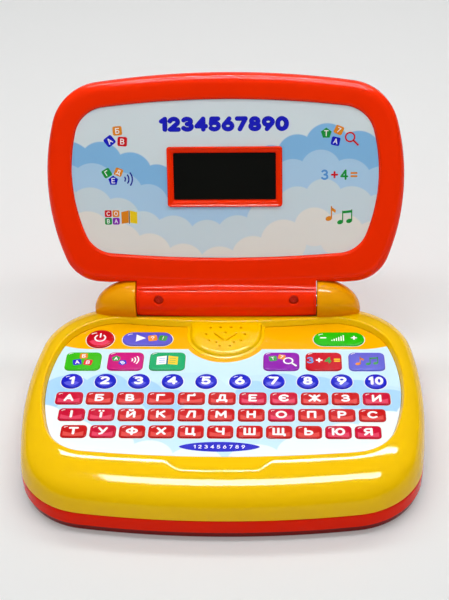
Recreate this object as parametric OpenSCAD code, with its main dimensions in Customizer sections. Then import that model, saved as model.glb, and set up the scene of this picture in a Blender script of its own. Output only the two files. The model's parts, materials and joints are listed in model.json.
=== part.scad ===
// Toy laptop computer: a hinged lid with a small display over a wide rounded base
// with a film keyboard. Millimetres, X right, Y to the rear, Z up, feet on Z = 0.

/* [Case outline] */
// Half width of the rim's crest
crest_half_w = 115; // [108:1:118]
// Crest of the rim at the front, measured forward from the hinge axis
crest_front = 150; // [140:1:155]
// Crest of the rim at the rear, measured forward from the hinge axis
crest_rear = 11.5; // [11:0.5:13]
// Half width of the case at the parting line
part_half_w = 126.5; // [122:0.5:130]
// Front of the case at the parting line, forward from the hinge axis
part_front = 175; // [166:1:180]
// Rear of the case at the parting line, behind the hinge axis
part_rear = 17.5; // [15:0.5:20]

/* [Case heights] */
// Underside of the lower case above the floor
case_z = 1.2; // [0.8:0.1:2]
// Height of the parting line
part_z = 16; // [14:0.5:18]
// Height of the rim's crest
crest_z = 39; // [37.5:0.5:39]
// Depth of the keyboard deck below the crest
deck_drop = 5.8; // [5.5:0.1:6.5]
// Wall of the mouldings
wall = 2; // [1.6:0.1:2.4]
// Height of the chamfer round the underside of the lower case
skirt_h = 5.6; // [4:0.2:7]
// How far that chamfer goes in
skirt_in = 2.4; // [1.5:0.1:3]

/* [Keyboard] */
// Half width of the printed film
film_half_w = 111; // [109.5:0.5:111]
// Front edge of the film, forward from the hinge axis
film_front = 141; // [139:0.5:143]
// Rear edge of the film at the middle, forward from the hinge axis
film_rear = 18.5; // [17.5:0.5:19]
// Thickness of the contact membrane
membrane_t = 0.4; // [0.3:0.05:0.5]
// Thickness of the spacer sheet
spacer_t = 0.8; // [0.7:0.05:1]
// Thickness of the printed film
film_t = 0.8; // [0.6:0.05:1]
// How far the keys stand above the film
key_proud = 1.2; // [0.8:0.1:1.4]
// Travel of a key
key_travel = 0.5; // [0.3:0.05:0.6]
// Gap round each key in the film
key_gap = 0.3; // [0.25:0.05:0.35]
// Diameter of a number key
number_d = 13.6; // [12:0.2:14.4]
// Spacing of the number keys
number_pitch = 21.3; // [20:0.1:22]
// Height of a letter key, front to rear
letter_h = 11.2; // [10:0.2:12]
// Spacing of the first row of letter keys
letter_pitch = 19.1; // [18.6:0.1:19.4]
// Spacing of the rows of letter keys
row_pitch = 15.2; // [14.6:0.1:15.6]
// Width of a mode key
mode_w = 23.6; // [22:0.2:25]
// Height of a mode key, front to rear
mode_h = 19; // [17:0.5:19.5]
// Diameter of the power key
power_d = 18.6; // [16:0.2:19]
// Width of the play and volume keys
pill_w = 33.6; // [30:0.2:35]
// Height of the play and volume keys, front to rear
pill_h = 14.6; // [13:0.2:15.5]

/* [Lid] */
// Half width of the lid
lid_half_w = 116; // [112:1:119]
// Top edge of the lid, from the hinge axis
lid_top = 150; // [146:1:153]
// Lean of the open lid past upright
lid_lean = 20; // [5:1:30]
// Screen side of the lid, in front of the hinge axis
lid_face = 6.5; // [6:0.1:6.5]
// Outer side of the lid, behind the hinge axis
lid_outer = 9; // [8:0.2:11]
// Half width of the printed sheet
sheet_half_w = 99.2; // [94:0.2:101]
// Thickness of the printed sheet
sheet_t = 0.5; // [0.3:0.05:0.7]
// Width of the display opening
view_w = 66.4; // [60:0.2:70]
// Height of the display opening
view_h = 31.4; // [28:0.2:34]
// Width of the raised frame round the display
frame_w = 4; // [3:0.1:5]
// Middle of the display, from the hinge axis
view_t = 83.6; // [78:0.2:88]

/* [Hinge] */
// Height of the hinge axis
hinge_z = 46; // [45.6:0.1:46.4]
// Radius of the hinge barrel at its middle
barrel_r = 12.6; // [12:0.1:12.6]
// How much thinner the barrel is at its ends
barrel_taper = 1; // [0.4:0.1:1.5]
// Half length of the hinge barrel
barrel_half = 59.4; // [54:0.2:62]
// Length of each hinge dome
dome_len = 29; // [24:0.5:31]
// Radius of each hinge dome
dome_r = 12.4; // [11:0.1:12.6]
// Gap between the barrel and the parts of the base
hinge_gap = 0.6; // [0.4:0.05:0.8]
// Radius of the hollow hinge pins
pin_r = 4.5; // [4:0.1:5]
// Radius of the wire hole through a hinge pin
pin_bore_r = 2.6; // [2.2:0.1:3]
// Running clearance of the pins in the barrel
pin_fit = 0.05; // [0.02:0.01:0.08]

/* [Batteries and speaker] */
// Diameter of a battery
cell_d = 14.2; // [13.8:0.1:14.5]
// Length of a battery without its cap
cell_len = 49.2; // [48:0.1:50]
// Radius of the speaker's rim
speaker_r = 19.5; // [18:0.1:20]
// Middle of the speaker, forward from the hinge axis
speaker_y = 33; // [32:0.5:34]

/* [Fastenings] */
// Radius of the shank of every screw
screw_r = 1.5; // [1.3:0.05:1.7]
// Radius of the head of every screw
screw_head_r = 2.9; // [2.6:0.05:3.2]
// Clearance of a shank in its hole
screw_fit = 0.06; // [0.03:0.01:0.1]
// Radius of a rubber foot
foot_r = 6; // [5:0.2:7]

/* [Hidden] */
$fn = 48;

// Colours of the mouldings and prints
yellow = [0.94, 0.78, 0.04];
orange = [0.88, 0.16, 0.01];
lower_red = [0.80, 0.13, 0.01];
film_blue = [0.80, 0.92, 0.98];
steel = [0.72, 0.73, 0.75];
board_green = [0.05, 0.38, 0.18];

// An outline is [half width, Y of the widest place, side radius,
//   rear Y, rear radius, rear corner radius, front Y, front radius, front corner radius];
// a rear radius below zero bows the rear edge inwards.
part_outline = [part_half_w, -77.6, 306, part_rear, 900, 60, -part_front, 580, 46.7];
crest_outline = [crest_half_w, -77.6, 140, -crest_rear, -900, 42, -crest_front, 744, 22];
film_outline = [film_half_w, -77.6, 131, -film_rear, -510, 37, -film_front, 744, 13];
lid_outline = [lid_half_w, 80.8, 147, lid_top, 595, 34, 9, 1100, 25];
sheet_outline = [sheet_half_w, 85.4, 111, 133.8, 648, 21.5, 29.4, 888, 19.7];
arc_steps = 7;
steep_angle = 80;
crest_angle = 12;

deck_z = crest_z - deck_drop;
under_z = deck_z - wall;
membrane_z = deck_z + membrane_t;
spacer_z = membrane_z + spacer_t;
film_z = spacer_z + film_t;
key_rest = 0.1;
key_z0 = membrane_z + key_travel + key_rest;
key_z1 = film_z + key_proud;
film_fit = 0.4;
sheet_fit = 0.25;

// The lid's outermost reach behind the axis and the base's reach in front of it
// put the origin at the middle of the open model's length.
lid_reach = lid_top * sin(lid_lean) + lid_outer * cos(lid_lean);
hinge_y = (part_front - lid_reach) / 2;

// ---- outline arithmetic ----

function heading(from, to) = atan2(to[1] - from[1], to[0] - from[0]);

// Where two circles cross, on the side with the larger X
function crossing(a, ra, b, rb) =
    let (d = norm(b - a), u = (b - a) / d, along = (ra * ra - rb * rb + d * d) / (2 * d),
         h = sqrt(max(0, ra * ra - along * along)), p = a + along * u, q = h * [-u[1], u[0]])
    (p + q)[0] > (p - q)[0] ? p + q : p - q;

function arc_points(c, r, a0, a1, steps) =
    [for (i = [0 : steps - 1]) let (a = a0 + (a1 - a0) * i / steps) c + r * [cos(a), sin(a)]];

// The right half of an outline drawn in by inset, from the front middle to the rear middle
function half_outline(o, inset) =
    let (side = [o[0] - o[2], o[1]], rear = [0, o[3] - o[4]], front = [0, o[6] + o[7]],
         rs = o[2] - inset, rr = o[4] - inset, rf = o[7] - inset,
         r_rear = o[5] - inset, r_front = o[8] - inset,
         c_rear = crossing(side, rs - r_rear, rear, abs(rr - r_rear)),
         c_front = crossing(side, rs - r_front, front, rf - r_front),
         a_front = heading(front, c_front), a_low = heading(side, c_front),
         a_high = heading(side, c_rear), a_rear = heading(rear, c_rear))
    concat(
        arc_points(front, rf, -90, a_front, arc_steps),
        arc_points(c_front, r_front, a_front, a_low, arc_steps),
        arc_points(side, rs, a_low, a_high, arc_steps),
        arc_points(c_rear, r_rear, a_high, rr > 0 ? a_rear : a_rear + 180, arc_steps),
        arc_points(rear, abs(rr), a_rear, rr > 0 ? 90 : -90, arc_steps),
        [[0, o[3] - inset]]);

// The whole outline, anticlockwise
function outline(o, inset = 0) =
    let (half = half_outline(o, inset), last = len(half) - 1)
    concat(half, [for (i = [last - 1 : -1 : 1]) [-half[i][0], half[i][1]]]);

function at_height(points, z) = [for (p = points) [p[0], p[1], z]];
function blend(a, b, t) = [for (i = [0 : len(a) - 1]) a[i] * (1 - t) + b[i] * t];

// The case wall rises from the parting line to the crest along an arc whose slope
// turns from steep_angle to crest_angle; t runs from 0 at the parting line to 1
function bulge_slope(t) = steep_angle + (crest_angle - steep_angle) * t;
function bulge_in(t) = (sin(steep_angle) - sin(bulge_slope(t))) / (sin(steep_angle) - sin(crest_angle));
function bulge_up(t) = (cos(bulge_slope(t)) - cos(steep_angle)) / (cos(crest_angle) - cos(steep_angle));
function bulge_ring(t, inset, drop = 0) =
    at_height(blend(outline(part_outline, inset), outline(crest_outline, inset), bulge_in(t)),
              part_z + (crest_z - drop - part_z) * bulge_up(t));

// Closed solid through a stack of rings; the first ring faces down, the last faces up
module loft(rings) {
    n = len(rings[0]);
    last = len(rings) - 1;
    polyhedron(
        points = [for (ring = rings) each ring],
        faces = concat(
            [[for (i = [0 : n - 1]) i]],
            [for (k = [0 : last - 1]) for (i = [0 : n - 1])
                [k * n + i, (k + 1) * n + i, (k + 1) * n + (i + 1) % n]],
            [for (k = [0 : last - 1]) for (i = [0 : n - 1])
                [k * n + i, (k + 1) * n + (i + 1) % n, k * n + (i + 1) % n]],
            [[for (i = [n - 1 : -1 : 0]) last * n + i]]),
        convexity = 6);
}

// ---- frames of reference ----

// Y = 0 and Z = 0 here are the hinge axis and the floor
module in_base() { translate([0, hinge_y, 0]) children(); }

// X along the axis, Y up the lid from the axis, Z out of the lid's screen side
module in_lid() { translate([0, hinge_y, hinge_z]) rotate([90 - lid_lean, 0, 0]) children(); }

// A cylinder along X
module bar_x(r, x0, x1) { translate([x0, 0, 0]) rotate([0, 90, 0]) cylinder(r = r, h = x1 - x0); }

// Places of the four screws near the corners of a board
post_inset = 4;
function corner_spots(w, h) =
    [for (sy = [-1, 1]) for (sx = [-1, 1]) [sx * (w / 2 - post_inset), sy * (h / 2 - post_inset)]];

// The same thing at the right end of the hinge axis and, turned round, at the left end
module at_both_ends() { for (a = [0, 180]) rotate([0, 0, a]) children(); }

module rounded_rect(w, h, r) {
    quarter = 6;
    polygon([for (k = [0 : 3]) for (i = [0 : quarter])
        let (a = 90 * (k + i / quarter), sx = k == 0 || k == 3 ? 1 : -1, sy = k < 2 ? 1 : -1)
        [sx * (w / 2 - r) + r * cos(a), sy * (h / 2 - r) + r * sin(a)]]);
}

// A screw along +Z with its head at the bottom and a cross recess in it
module screw(len) {
    head_h = 2;
    recess = 0.9;
    difference() {
        union() {
            cylinder(r = screw_head_r, h = head_h);
            translate([0, 0, head_h]) cylinder(r = screw_r, h = len);
        }
        for (a = [0, 90]) rotate([0, 0, a])
            translate([-1.9, -0.4, -recess]) cube([3.8, 0.8, 2 * recess]);
    }
}

// ---- keys ----

number_y = -73.1;
mode_y = -53.7;
round_y = -30.7;
row_1_y = -89.4;
number_count = 10;
letter_count = 11;
mode_x = [-91, -63.6, -36.6, 36.6, 63.6, 91];
power_x = -82.4;
play_x = -51.2;
volume_x = 74;
// Each row forward of the first is this much narrower
row_shrink = 0.965;

function number_x(i) = (i - (number_count - 1) / 2) * number_pitch;
function letter_scale(row) = pow(row_shrink, row);
function letter_x(row, i) = (i - (letter_count - 1) / 2) * letter_pitch * letter_scale(row);
function letter_y(row) = row_1_y - row * row_pitch;

module number_shape(grow = 0) { circle(d = number_d + 2 * grow); }

module power_shape(grow = 0) { circle(d = power_d + 2 * grow); }

module mode_shape(grow = 0) { rounded_rect(mode_w + 2 * grow, mode_h + 2 * grow, 2.4 + grow); }

module pill_shape(grow = 0) {
    rounded_rect(pill_w + 2 * grow, pill_h + 2 * grow, pill_h / 2 + grow - 0.05);
}

// A letter key leans outwards: its sides follow the fan of the rows
module letter_shape(row, i, grow = 0) {
    w = (letter_pitch - 2.1) * letter_scale(row) + 2 * grow;
    h = letter_h * (1 - 0.02 * row) + 2 * grow;
    r = 2.6 + grow;
    lean = (i - (letter_count - 1) / 2) * letter_pitch * (1 - row_shrink) / row_pitch;
    quarter = 4;
    polygon([for (k = [0 : 3]) for (j = [0 : quarter])
        let (a = 90 * (k + j / quarter), sx = k == 0 || k == 3 ? 1 : -1, sy = k < 2 ? 1 : -1,
             x = sx * (w / 2 - r) + r * cos(a), y = sy * (h / 2 - r) + r * sin(a))
        [x + y * lean, y]]);
}

// Every key's outline at its place, for the film and the spacer to be cut by
module all_key_shapes(grow) {
    for (i = [0 : number_count - 1]) translate([number_x(i), number_y]) number_shape(grow);
    for (x = mode_x) translate([x, mode_y]) mode_shape(grow);
    translate([power_x, round_y]) power_shape(grow);
    for (x = [play_x, volume_x]) translate([x, round_y]) pill_shape(grow);
    for (row = [0 : 2]) for (i = [0 : letter_count - 1])
        translate([letter_x(row, i), letter_y(row)]) letter_shape(row, i, grow);
}

module key_block() {
    in_base() translate([0, 0, key_z0]) linear_extrude(key_z1 - key_z0) children();
}

module number_key(i) {
    color([0.10, 0.10, 0.78]) key_block() translate([number_x(i - 1), number_y]) number_shape();
}

mode_colours = [[0.2, 0.65, 0.2], [0.85, 0.1, 0.5], [0.1, 0.65, 0.45],
                [0.55, 0.15, 0.75], [0.85, 0.1, 0.15], [0.45, 0.45, 0.85]];
module mode_key(i) {
    color(mode_colours[i - 1]) key_block() translate([mode_x[i - 1], mode_y]) mode_shape();
}

module power_key() {
    color([0.85, 0.05, 0.1]) key_block() translate([power_x, round_y]) power_shape();
}

module play_key() {
    color([0.35, 0.35, 0.85]) key_block() translate([play_x, round_y]) pill_shape();
}

// The volume key rocks about its middle
module volume_key() {
    color([0.2, 0.7, 0.1]) key_block() translate([volume_x, round_y]) pill_shape();
}

module letter_row(row) {
    color([0.84, 0.12, 0.12]) key_block()
        for (i = [0 : letter_count - 1])
            translate([letter_x(row - 1, i), letter_y(row - 1)]) letter_shape(row - 1, i);
}

// ---- speaker place in the base ----

boss_top = crest_z - 0.6;
boss_half_w = 23.3;
boss_mid_y = -26;
grille_y = -31.9;
grille_pairs = [[3.4, 10.1], [10, 9.6], [12.7, 2.8], [10.4, -3.6], [5.6, -5.4], [3.4, -9.2]];
grille_hole_r = 0.9;
speaker_hole_r = 17;

// The D of the speaker boss, grown outwards, from y_rear forwards
module boss_shape(y_rear, grow = 0) {
    r = boss_half_w + grow;
    translate([0, boss_mid_y]) difference() {
        circle(r = r);
        translate([-r - 1, 0]) square([2 * r + 2, r + 1]);
    }
    translate([-r, boss_mid_y]) square([2 * r, y_rear - boss_mid_y]);
}

// ---- keyboard sheets ----

module sheet_blank(z0, z1, inset) {
    translate([0, 0, z0]) linear_extrude(z1 - z0) polygon(outline(film_outline, inset));
}

module keyboard_film() {
    color(film_blue) in_base() difference() {
        sheet_blank(spacer_z, film_z, 0);
        translate([0, 0, spacer_z - 1]) linear_extrude(film_t + 2) {
            boss_shape(0, 0.3);
            all_key_shapes(key_gap);
        }
    }
}

module spacer_sheet() {
    color([0.9, 0.9, 0.88]) in_base() difference() {
        sheet_blank(membrane_z, spacer_z, 0.2);
        translate([0, 0, membrane_z - 1]) linear_extrude(spacer_t + 2) {
            boss_shape(0, 0.3);
            all_key_shapes(key_gap);
        }
    }
}

tail_x = -78;
tail_y = -96;
tail_w = 16;
tail_t = 0.3;

module contact_membrane() {
    color([0.85, 0.86, 0.8]) in_base() {
        difference() {
            sheet_blank(deck_z, membrane_z, 0.2);
            translate([0, 0, deck_z - 1]) linear_extrude(membrane_t + 2) boss_shape(0, 0.3);
        }
        translate([tail_x - tail_w / 2, tail_y - tail_t / 2, socket_z])
            cube([tail_w, tail_t, membrane_z - socket_z]);
    }
}

// ---- upper case ----

post_r = 4;
post_z = part_z + 1;
case_posts = [[-98, -36], [98, -36], [-104, -120], [104, -120], [-45, -158], [45, -158]];
notch_half_w = 29;
notch_drop = 1.9;
notch_r = (notch_half_w * notch_half_w + notch_drop * notch_drop) / (2 * notch_drop);
trough_r = barrel_r + hinge_gap;

// Profile of a hinge dome: a quarter ellipse, length along X
module dome_profile(r, len) {
    polygon(concat([[0, 0]], [for (i = [0 : 12]) let (a = 90 * i / 12) [r * cos(a), len * sin(a)]]));
}

// One hinge dome on the side given by +1 or -1, with a skirt down into the case
module dome(side, r, len, x0, z_low) {
    translate([side * x0, 0, hinge_z]) rotate([0, side * 90, 0])
        rotate_extrude() dome_profile(r, len);
    translate([side * x0, 0, z_low]) linear_extrude(hinge_z - z_low)
        polygon([for (i = [0 : 24]) let (a = 180 * i / 24) [side * len * sin(a), r * cos(a)]]);
}

dome_x = barrel_half + hinge_gap;
dome_plate = wall + 0.4;
dome_foot_z = part_z + 14;

// Wall under the barrel's trough where it cuts through the case
module trough_liner() {
    a0 = 215;
    a1 = 298;
    steps = 12;
    r_out = trough_r + wall;
    translate([-dome_x - 1, 0, hinge_z]) rotate([90, 0, 90]) linear_extrude(2 * dome_x + 2)
        polygon(concat(
            [for (i = [0 : steps]) let (a = a0 + (a1 - a0) * i / steps) r_out * [cos(a), sin(a)]],
            [for (i = [steps : -1 : 0]) let (a = a0 + (a1 - a0) * i / steps)
                (trough_r - 1) * [cos(a), sin(a)]]));
}

module upper_case() {
    color(yellow) in_base() difference() {
        union() {
            loft(concat(
                [at_height(outline(film_outline, -2.2), under_z),
                 at_height(outline(film_outline, -2.4), crest_z - 2 * wall)],
                [for (t = [0.82, 0.64, 0.48, 0.32, 0.16, 0]) bulge_ring(t, wall, wall)],
                [for (t = [0 : 1 / 8 : 1]) bulge_ring(t, 0)],
                [at_height(outline(crest_outline, 1.2), crest_z - 0.2),
                 at_height(blend(outline(crest_outline, 1), outline(film_outline, -film_fit), 0.55),
                           crest_z - 1.5),
                 at_height(outline(film_outline, -film_fit), film_z),
                 at_height(outline(film_outline, -film_fit), deck_z)]));
            for (side = [-1, 1]) dome(side, dome_r, dome_len, dome_x, dome_foot_z);
            // boss over the speaker, run back into the rear rim
            translate([0, 0, under_z]) linear_extrude(boss_top - under_z)
                boss_shape(-crest_rear - 3);
            trough_liner();
            for (p = case_posts) translate([p[0], p[1], post_z])
                cylinder(r = post_r, h = under_z - post_z + 0.5);
        }
        // trough for the barrel
        translate([0, 0, hinge_z]) bar_x(trough_r, -dome_x, dome_x);
        // insides of the domes, open to the case below, and their pin holes
        for (side = [-1, 1])
            dome(side, dome_r - wall, dome_len - wall - 1.5, dome_x + dome_plate, dome_foot_z - 6);
        translate([0, 0, hinge_z]) at_both_ends() bar_x(pin_r + pin_fit, dome_x - 1, dome_x + 6);
        // room over the speaker, its hole in the deck, and the grille
        translate([0, 0, deck_z]) linear_extrude(boss_top - deck_z - wall)
            boss_shape(boss_mid_y + 3, -wall);
        translate([0, -speaker_y, under_z - 1]) cylinder(r = speaker_hole_r, h = wall + 2);
        translate([0, grille_y, boss_top - wall - 1]) {
            for (p = grille_pairs) for (side = [-1, 1])
                translate([side * p[0], p[1], 0]) cylinder(r = grille_hole_r, h = wall + 2, $fn = 24);
            translate([0, 4.6, 0]) cylinder(r = grille_hole_r, h = wall + 2, $fn = 24);
            for (side = [-1, 1]) translate([side * 4.1, 0, 0]) rotate([0, 0, side * 48.5])
                translate([-5.2, -0.5, 0]) cube([10.4, 1, wall + 2]);
        }
        // finger notch in the front rim
        translate([0, -crest_front, crest_z - notch_drop + notch_r])
            rotate([90, 0, 0]) cylinder(r = notch_r, h = 60, center = true, $fn = 96);
        // slot for the membrane's tail
        translate([tail_x - tail_w / 2 - 0.5, tail_y - 0.8, under_z - 1])
            cube([tail_w + 1, 1.6, wall + 2]);
        // pilot holes of the case screws
        for (p = case_posts) translate([p[0], p[1], post_z - 1])
            cylinder(r = screw_r + screw_fit, h = screw_len + 1);
    }
}

// ---- lower case and what it holds ----

floor_z = case_z + wall;
head_z = 10;
head_h = 2;
screw_len = 11;
foot_spots = [[-88, -18], [88, -18], [-88, -142], [88, -142]];
foot_seat = 1.6;

// Battery box: three cells side by side along X
cap_len = 1.2;
cap_r = 2.7;
spring_len = 4;
contact_t = 0.4;
contact_size = 10;
cell_rest = 0.3;
cell_pitch = cell_d + 0.9;
cell_z = floor_z + cell_rest + cell_d / 2;
box_wall = 1.6;
box_y = -88;
box_in_x = (cell_len + cap_len + spring_len) / 2 + contact_t;
door_gap = 0.4;
door_half_x = box_in_x - 1.4;
door_half_y = 1.5 * cell_pitch + 1.5;
door_ledge = 3;
box_in_y = door_half_y + door_gap + door_ledge;
box_top = floor_z + cell_d + 2.4;
tongue_half_w = 6.5;
tongue_len = 8.5;
door_axis_y = box_y + door_half_y + door_gap;
door_screw_y = box_y - box_in_y - box_wall / 2;
door_head_h = 1.1;
door_screw_len = 6;
door_boss_r = 4;
door_boss_h = 7.5;
grip_count = 5;

board_w = 58;
board_d = 52;
board_t = 1.6;
board_x = -76;
board_y = -78;
board_z = 9;
socket_h = 4;
socket_z = board_z + board_t + socket_h - 2;
board_posts = corner_spots(board_w, board_d);

// The opening for the battery door and its screw tongue, shrunk by the gap for the door
module door_shape(gap) {
    translate([0, box_y]) square([2 * (door_half_x - gap), 2 * (door_half_y - gap)], center = true);
    translate([gap - tongue_half_w, box_y - door_half_y - tongue_len + gap])
        square([2 * (tongue_half_w - gap), tongue_len + 1]);
}

module lower_case() {
    color(lower_red) in_base() difference() {
        union() {
            loft([
                at_height(outline(part_outline, skirt_in + 1.4), case_z),
                at_height(outline(part_outline, skirt_in), case_z + 0.8),
                at_height(outline(part_outline, 0.5), case_z + skirt_h - 0.5),
                at_height(outline(part_outline, 0), case_z + skirt_h + 0.6),
                at_height(outline(part_outline, 0), part_z - 0.6),
                at_height(outline(part_outline, 0.5), part_z),
                at_height(outline(part_outline, wall), part_z),
                at_height(outline(part_outline, wall), case_z + skirt_h + 1),
                at_height(outline(part_outline, skirt_in + wall), floor_z)]);
            translate([-box_in_x - box_wall, box_y - box_in_y - box_wall, floor_z - 0.5])
                cube([2 * (box_in_x + box_wall), 2 * (box_in_y + box_wall), box_top - floor_z + 0.5]);
            for (p = case_posts) translate([p[0], p[1], floor_z - 0.5])
                cylinder(r = post_r + 0.8, h = post_z - floor_z + 0.5);
            for (p = foot_spots) translate([p[0], p[1], floor_z - 0.5])
                cylinder(r = foot_r + wall, h = foot_seat + 0.5);
            for (p = board_posts) translate([board_x + p[0], board_y + p[1], floor_z - 0.5])
                cylinder(r = 3, h = board_z - floor_z + 0.5);
            translate([0, door_screw_y, floor_z - 0.5])
                cylinder(r = door_boss_r, h = door_boss_h + 0.5);
        }
        // inside of the battery box, with the screw boss left standing
        difference() {
            translate([-box_in_x, box_y - box_in_y, floor_z])
                cube([2 * box_in_x, 2 * box_in_y, box_top - floor_z - box_wall]);
            translate([0, door_screw_y, floor_z - 1])
                cylinder(r = door_boss_r, h = door_boss_h + 1);
        }
        translate([0, 0, case_z - 1]) linear_extrude(wall + 1) door_shape(0);
        translate([0, door_screw_y, case_z]) cylinder(r = screw_r + 0.5, h = wall + door_screw_len);
        // holes of the case screws, their heads sunk from below
        for (p = case_posts) translate([p[0], p[1], case_z - 1]) {
            cylinder(r = screw_head_r + 0.3, h = head_z + head_h - case_z + 1);
            cylinder(r = screw_r + 0.3, h = post_z);
        }
        for (p = foot_spots) translate([p[0], p[1], case_z - 1])
            cylinder(r = foot_r + 0.05, h = foot_seat + 1);
        for (p = board_posts) translate([board_x + p[0], board_y + p[1], floor_z + 1])
            cylinder(r = 1.1, h = board_z);
    }
}

module case_screws() {
    color(steel) in_base() for (p = case_posts) translate([p[0], p[1], head_z]) screw(screw_len);
}

module rubber_feet() {
    color([0.12, 0.12, 0.13]) in_base() for (p = foot_spots) translate([p[0], p[1], 0])
        rotate_extrude() polygon([[0, 0], [foot_r - 0.8, 0], [foot_r, 0.7],
                                  [foot_r, case_z + foot_seat], [0, case_z + foot_seat]]);
}

// ---- battery door ----

tab_x = 16;
tab_w = 8;
tab_t = 1.3;
tab_reach = 2.2;
tab_lift = 0.15;

module battery_door() {
    color(lower_red) in_base() difference() {
        union() {
            translate([0, 0, case_z]) linear_extrude(wall) door_shape(door_gap);
            // tabs that hook over the case floor at the rear
            for (side = [-1, 1]) translate([side * tab_x - tab_w / 2, 0, 0]) {
                translate([0, door_axis_y - door_gap - 3, floor_z - 0.5])
                    cube([tab_w, 3, tab_t + tab_lift + 0.5]);
                translate([0, door_axis_y - door_gap - 1, floor_z + tab_lift])
                    cube([tab_w, door_gap + tab_reach + 1, tab_t]);
            }
        }
        translate([0, door_screw_y, case_z - 1]) {
            cylinder(r = screw_head_r + 0.2, h = door_head_h + 1.05);
            cylinder(r = screw_r + screw_fit, h = wall + 2);
        }
        // grip grooves across the door
        for (i = [0 : grip_count - 1])
            translate([-9, box_y - 12 - 2.4 * i, case_z - 0.5]) cube([18, 1.1, 1]);
    }
}

module door_screw() {
    color(steel) in_base() translate([0, door_screw_y, case_z + 0.05]) difference() {
        union() {
            cylinder(r = screw_head_r, h = door_head_h);
            cylinder(r = screw_r, h = wall + door_screw_len - 1);
        }
        for (a = [0, 90]) rotate([0, 0, a]) translate([-1.9, -0.4, -0.6]) cube([3.8, 0.8, 1.2]);
    }
}

// ---- batteries ----

// The cells lie head to tail: +1 has its cap towards +X
function cell_sign(i) = i % 2 == 0 ? 1 : -1;
function cell_y(i) = box_y + (i - 1) * cell_pitch;
cell_shift = (spring_len - cap_len) / 2;

// Local frame of cell i: X towards its cap, origin in the middle of the box
module at_cell(i) {
    in_base() translate([0, cell_y(i), cell_z]) rotate([0, 0, cell_sign(i) > 0 ? 0 : 180]) children();
}

module batteries() {
    for (i = [0 : 2]) at_cell(i) {
        color([0.13, 0.13, 0.15])
            bar_x(cell_d / 2, cell_shift - cell_len / 2, cell_shift + cell_len / 2);
        color(steel)
            bar_x(cap_r, cell_shift + cell_len / 2 - 0.5, cell_shift + cell_len / 2 + cap_len);
    }
}

module battery_contacts() {
    color(steel) for (i = [0 : 2]) at_cell(i) for (side = [-1, 1])
        translate([side * (box_in_x - contact_t / 2), 0, 0])
            cube([contact_t, contact_size, contact_size], center = true);
}

// Conical compression spring as one swept wire
module coil(r0, r1, wire_r, x0, x1, turns) {
    rings = turns * 12;
    sides = 6;
    function ring_point(k, j) = let (a = 360 * turns * k / rings, b = 360 * j / sides,
        r = r0 + (r1 - r0) * k / rings + wire_r * cos(b))
        [x0 + (x1 - x0) * k / rings + wire_r * sin(b), r * cos(a), r * sin(a)];
    polyhedron(
        points = [for (k = [0 : rings]) for (j = [0 : sides - 1]) ring_point(k, j)],
        faces = concat(
            [[for (j = [sides - 1 : -1 : 0]) j]],
            [for (k = [0 : rings - 1]) for (j = [0 : sides - 1])
                [k * sides + j, k * sides + (j + 1) % sides, (k + 1) * sides + (j + 1) % sides]],
            [for (k = [0 : rings - 1]) for (j = [0 : sides - 1])
                [k * sides + j, (k + 1) * sides + (j + 1) % sides, (k + 1) * sides + j]],
            [[for (j = [0 : sides - 1]) rings * sides + j]]),
        convexity = 8);
}

module battery_springs() {
    wire_r = 0.35;
    color(steel) for (i = [0 : 2]) at_cell(i)
        coil(contact_size / 2 - 1, cap_r - 0.1, wire_r,
             contact_t + wire_r - box_in_x, cell_shift - cell_len / 2 - wire_r, 3);
}

// ---- boards ----

module main_board() {
    color(board_green) in_base() difference() {
        translate([board_x - board_w / 2, board_y - board_d / 2, board_z])
            cube([board_w, board_d, board_t]);
        for (p = board_posts) translate([board_x + p[0], board_y + p[1], board_z - 1])
            cylinder(r = 1.3, h = board_t + 2);
    }
}

module board_parts() {
    top = board_z + board_t;
    in_base() translate([board_x, board_y, top]) {
        // chip under resin, second chip, capacitors, crystal
        color([0.05, 0.05, 0.06])
            rotate_extrude() polygon([[0, 0], [7, 0], [6.4, 1], [4, 2], [0, 2.4]]);
        color([0.1, 0.1, 0.1]) translate([10, 4, 0]) cube([10, 8, 1.6]);
        color([0.15, 0.2, 0.6]) for (x = [-18, -11]) translate([x, 12, 0]) cylinder(r = 2.5, h = 7);
        color([0.8, 0.8, 0.78]) translate([-20, 0, 0]) cube([8, 3.6, 3]);
        // screws that hold the board to its posts
        color(steel) for (p = board_posts) translate([p[0], p[1], 0]) {
            cylinder(r = 2.2, h = 1.2);
            translate([0, 0, -board_t - 3]) cylinder(r = 1.04, h = board_t + 3.5);
        }
    }
    // socket of the membrane's tail, in two jaws
    color([0.92, 0.9, 0.82]) in_base() translate([tail_x - tail_w / 2 - 1.5, tail_y, top]) difference() {
        translate([0, -2.6, 0]) cube([tail_w + 3, 5.2, socket_h]);
        translate([1.3, -tail_t / 2 - 0.02, 1.6]) cube([tail_w + 0.4, tail_t + 0.04, socket_h]);
    }
}

// ---- speaker ----

speaker_rim_t = 1;
speaker_depth = 6.2;
magnet_h = 4.5;
magnet_r = 11;
cone_t = 0.4;
surround_r = speaker_hole_r - 4;
cap_edge_r = 5;

module at_speaker() { in_base() translate([0, -speaker_y, under_z]) children(); }

module speaker_frame() {
    color([0.35, 0.36, 0.38]) at_speaker() rotate_extrude() polygon([
        [speaker_hole_r, 0], [speaker_r, 0], [speaker_r, -speaker_rim_t],
        [speaker_hole_r + 0.4, -speaker_rim_t], [magnet_r - 1, -speaker_depth], [4, -speaker_depth],
        [4, 0.8 - speaker_depth], [magnet_r - 1.8, 0.8 - speaker_depth],
        [speaker_hole_r - 0.7, -speaker_rim_t]]);
}

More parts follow.
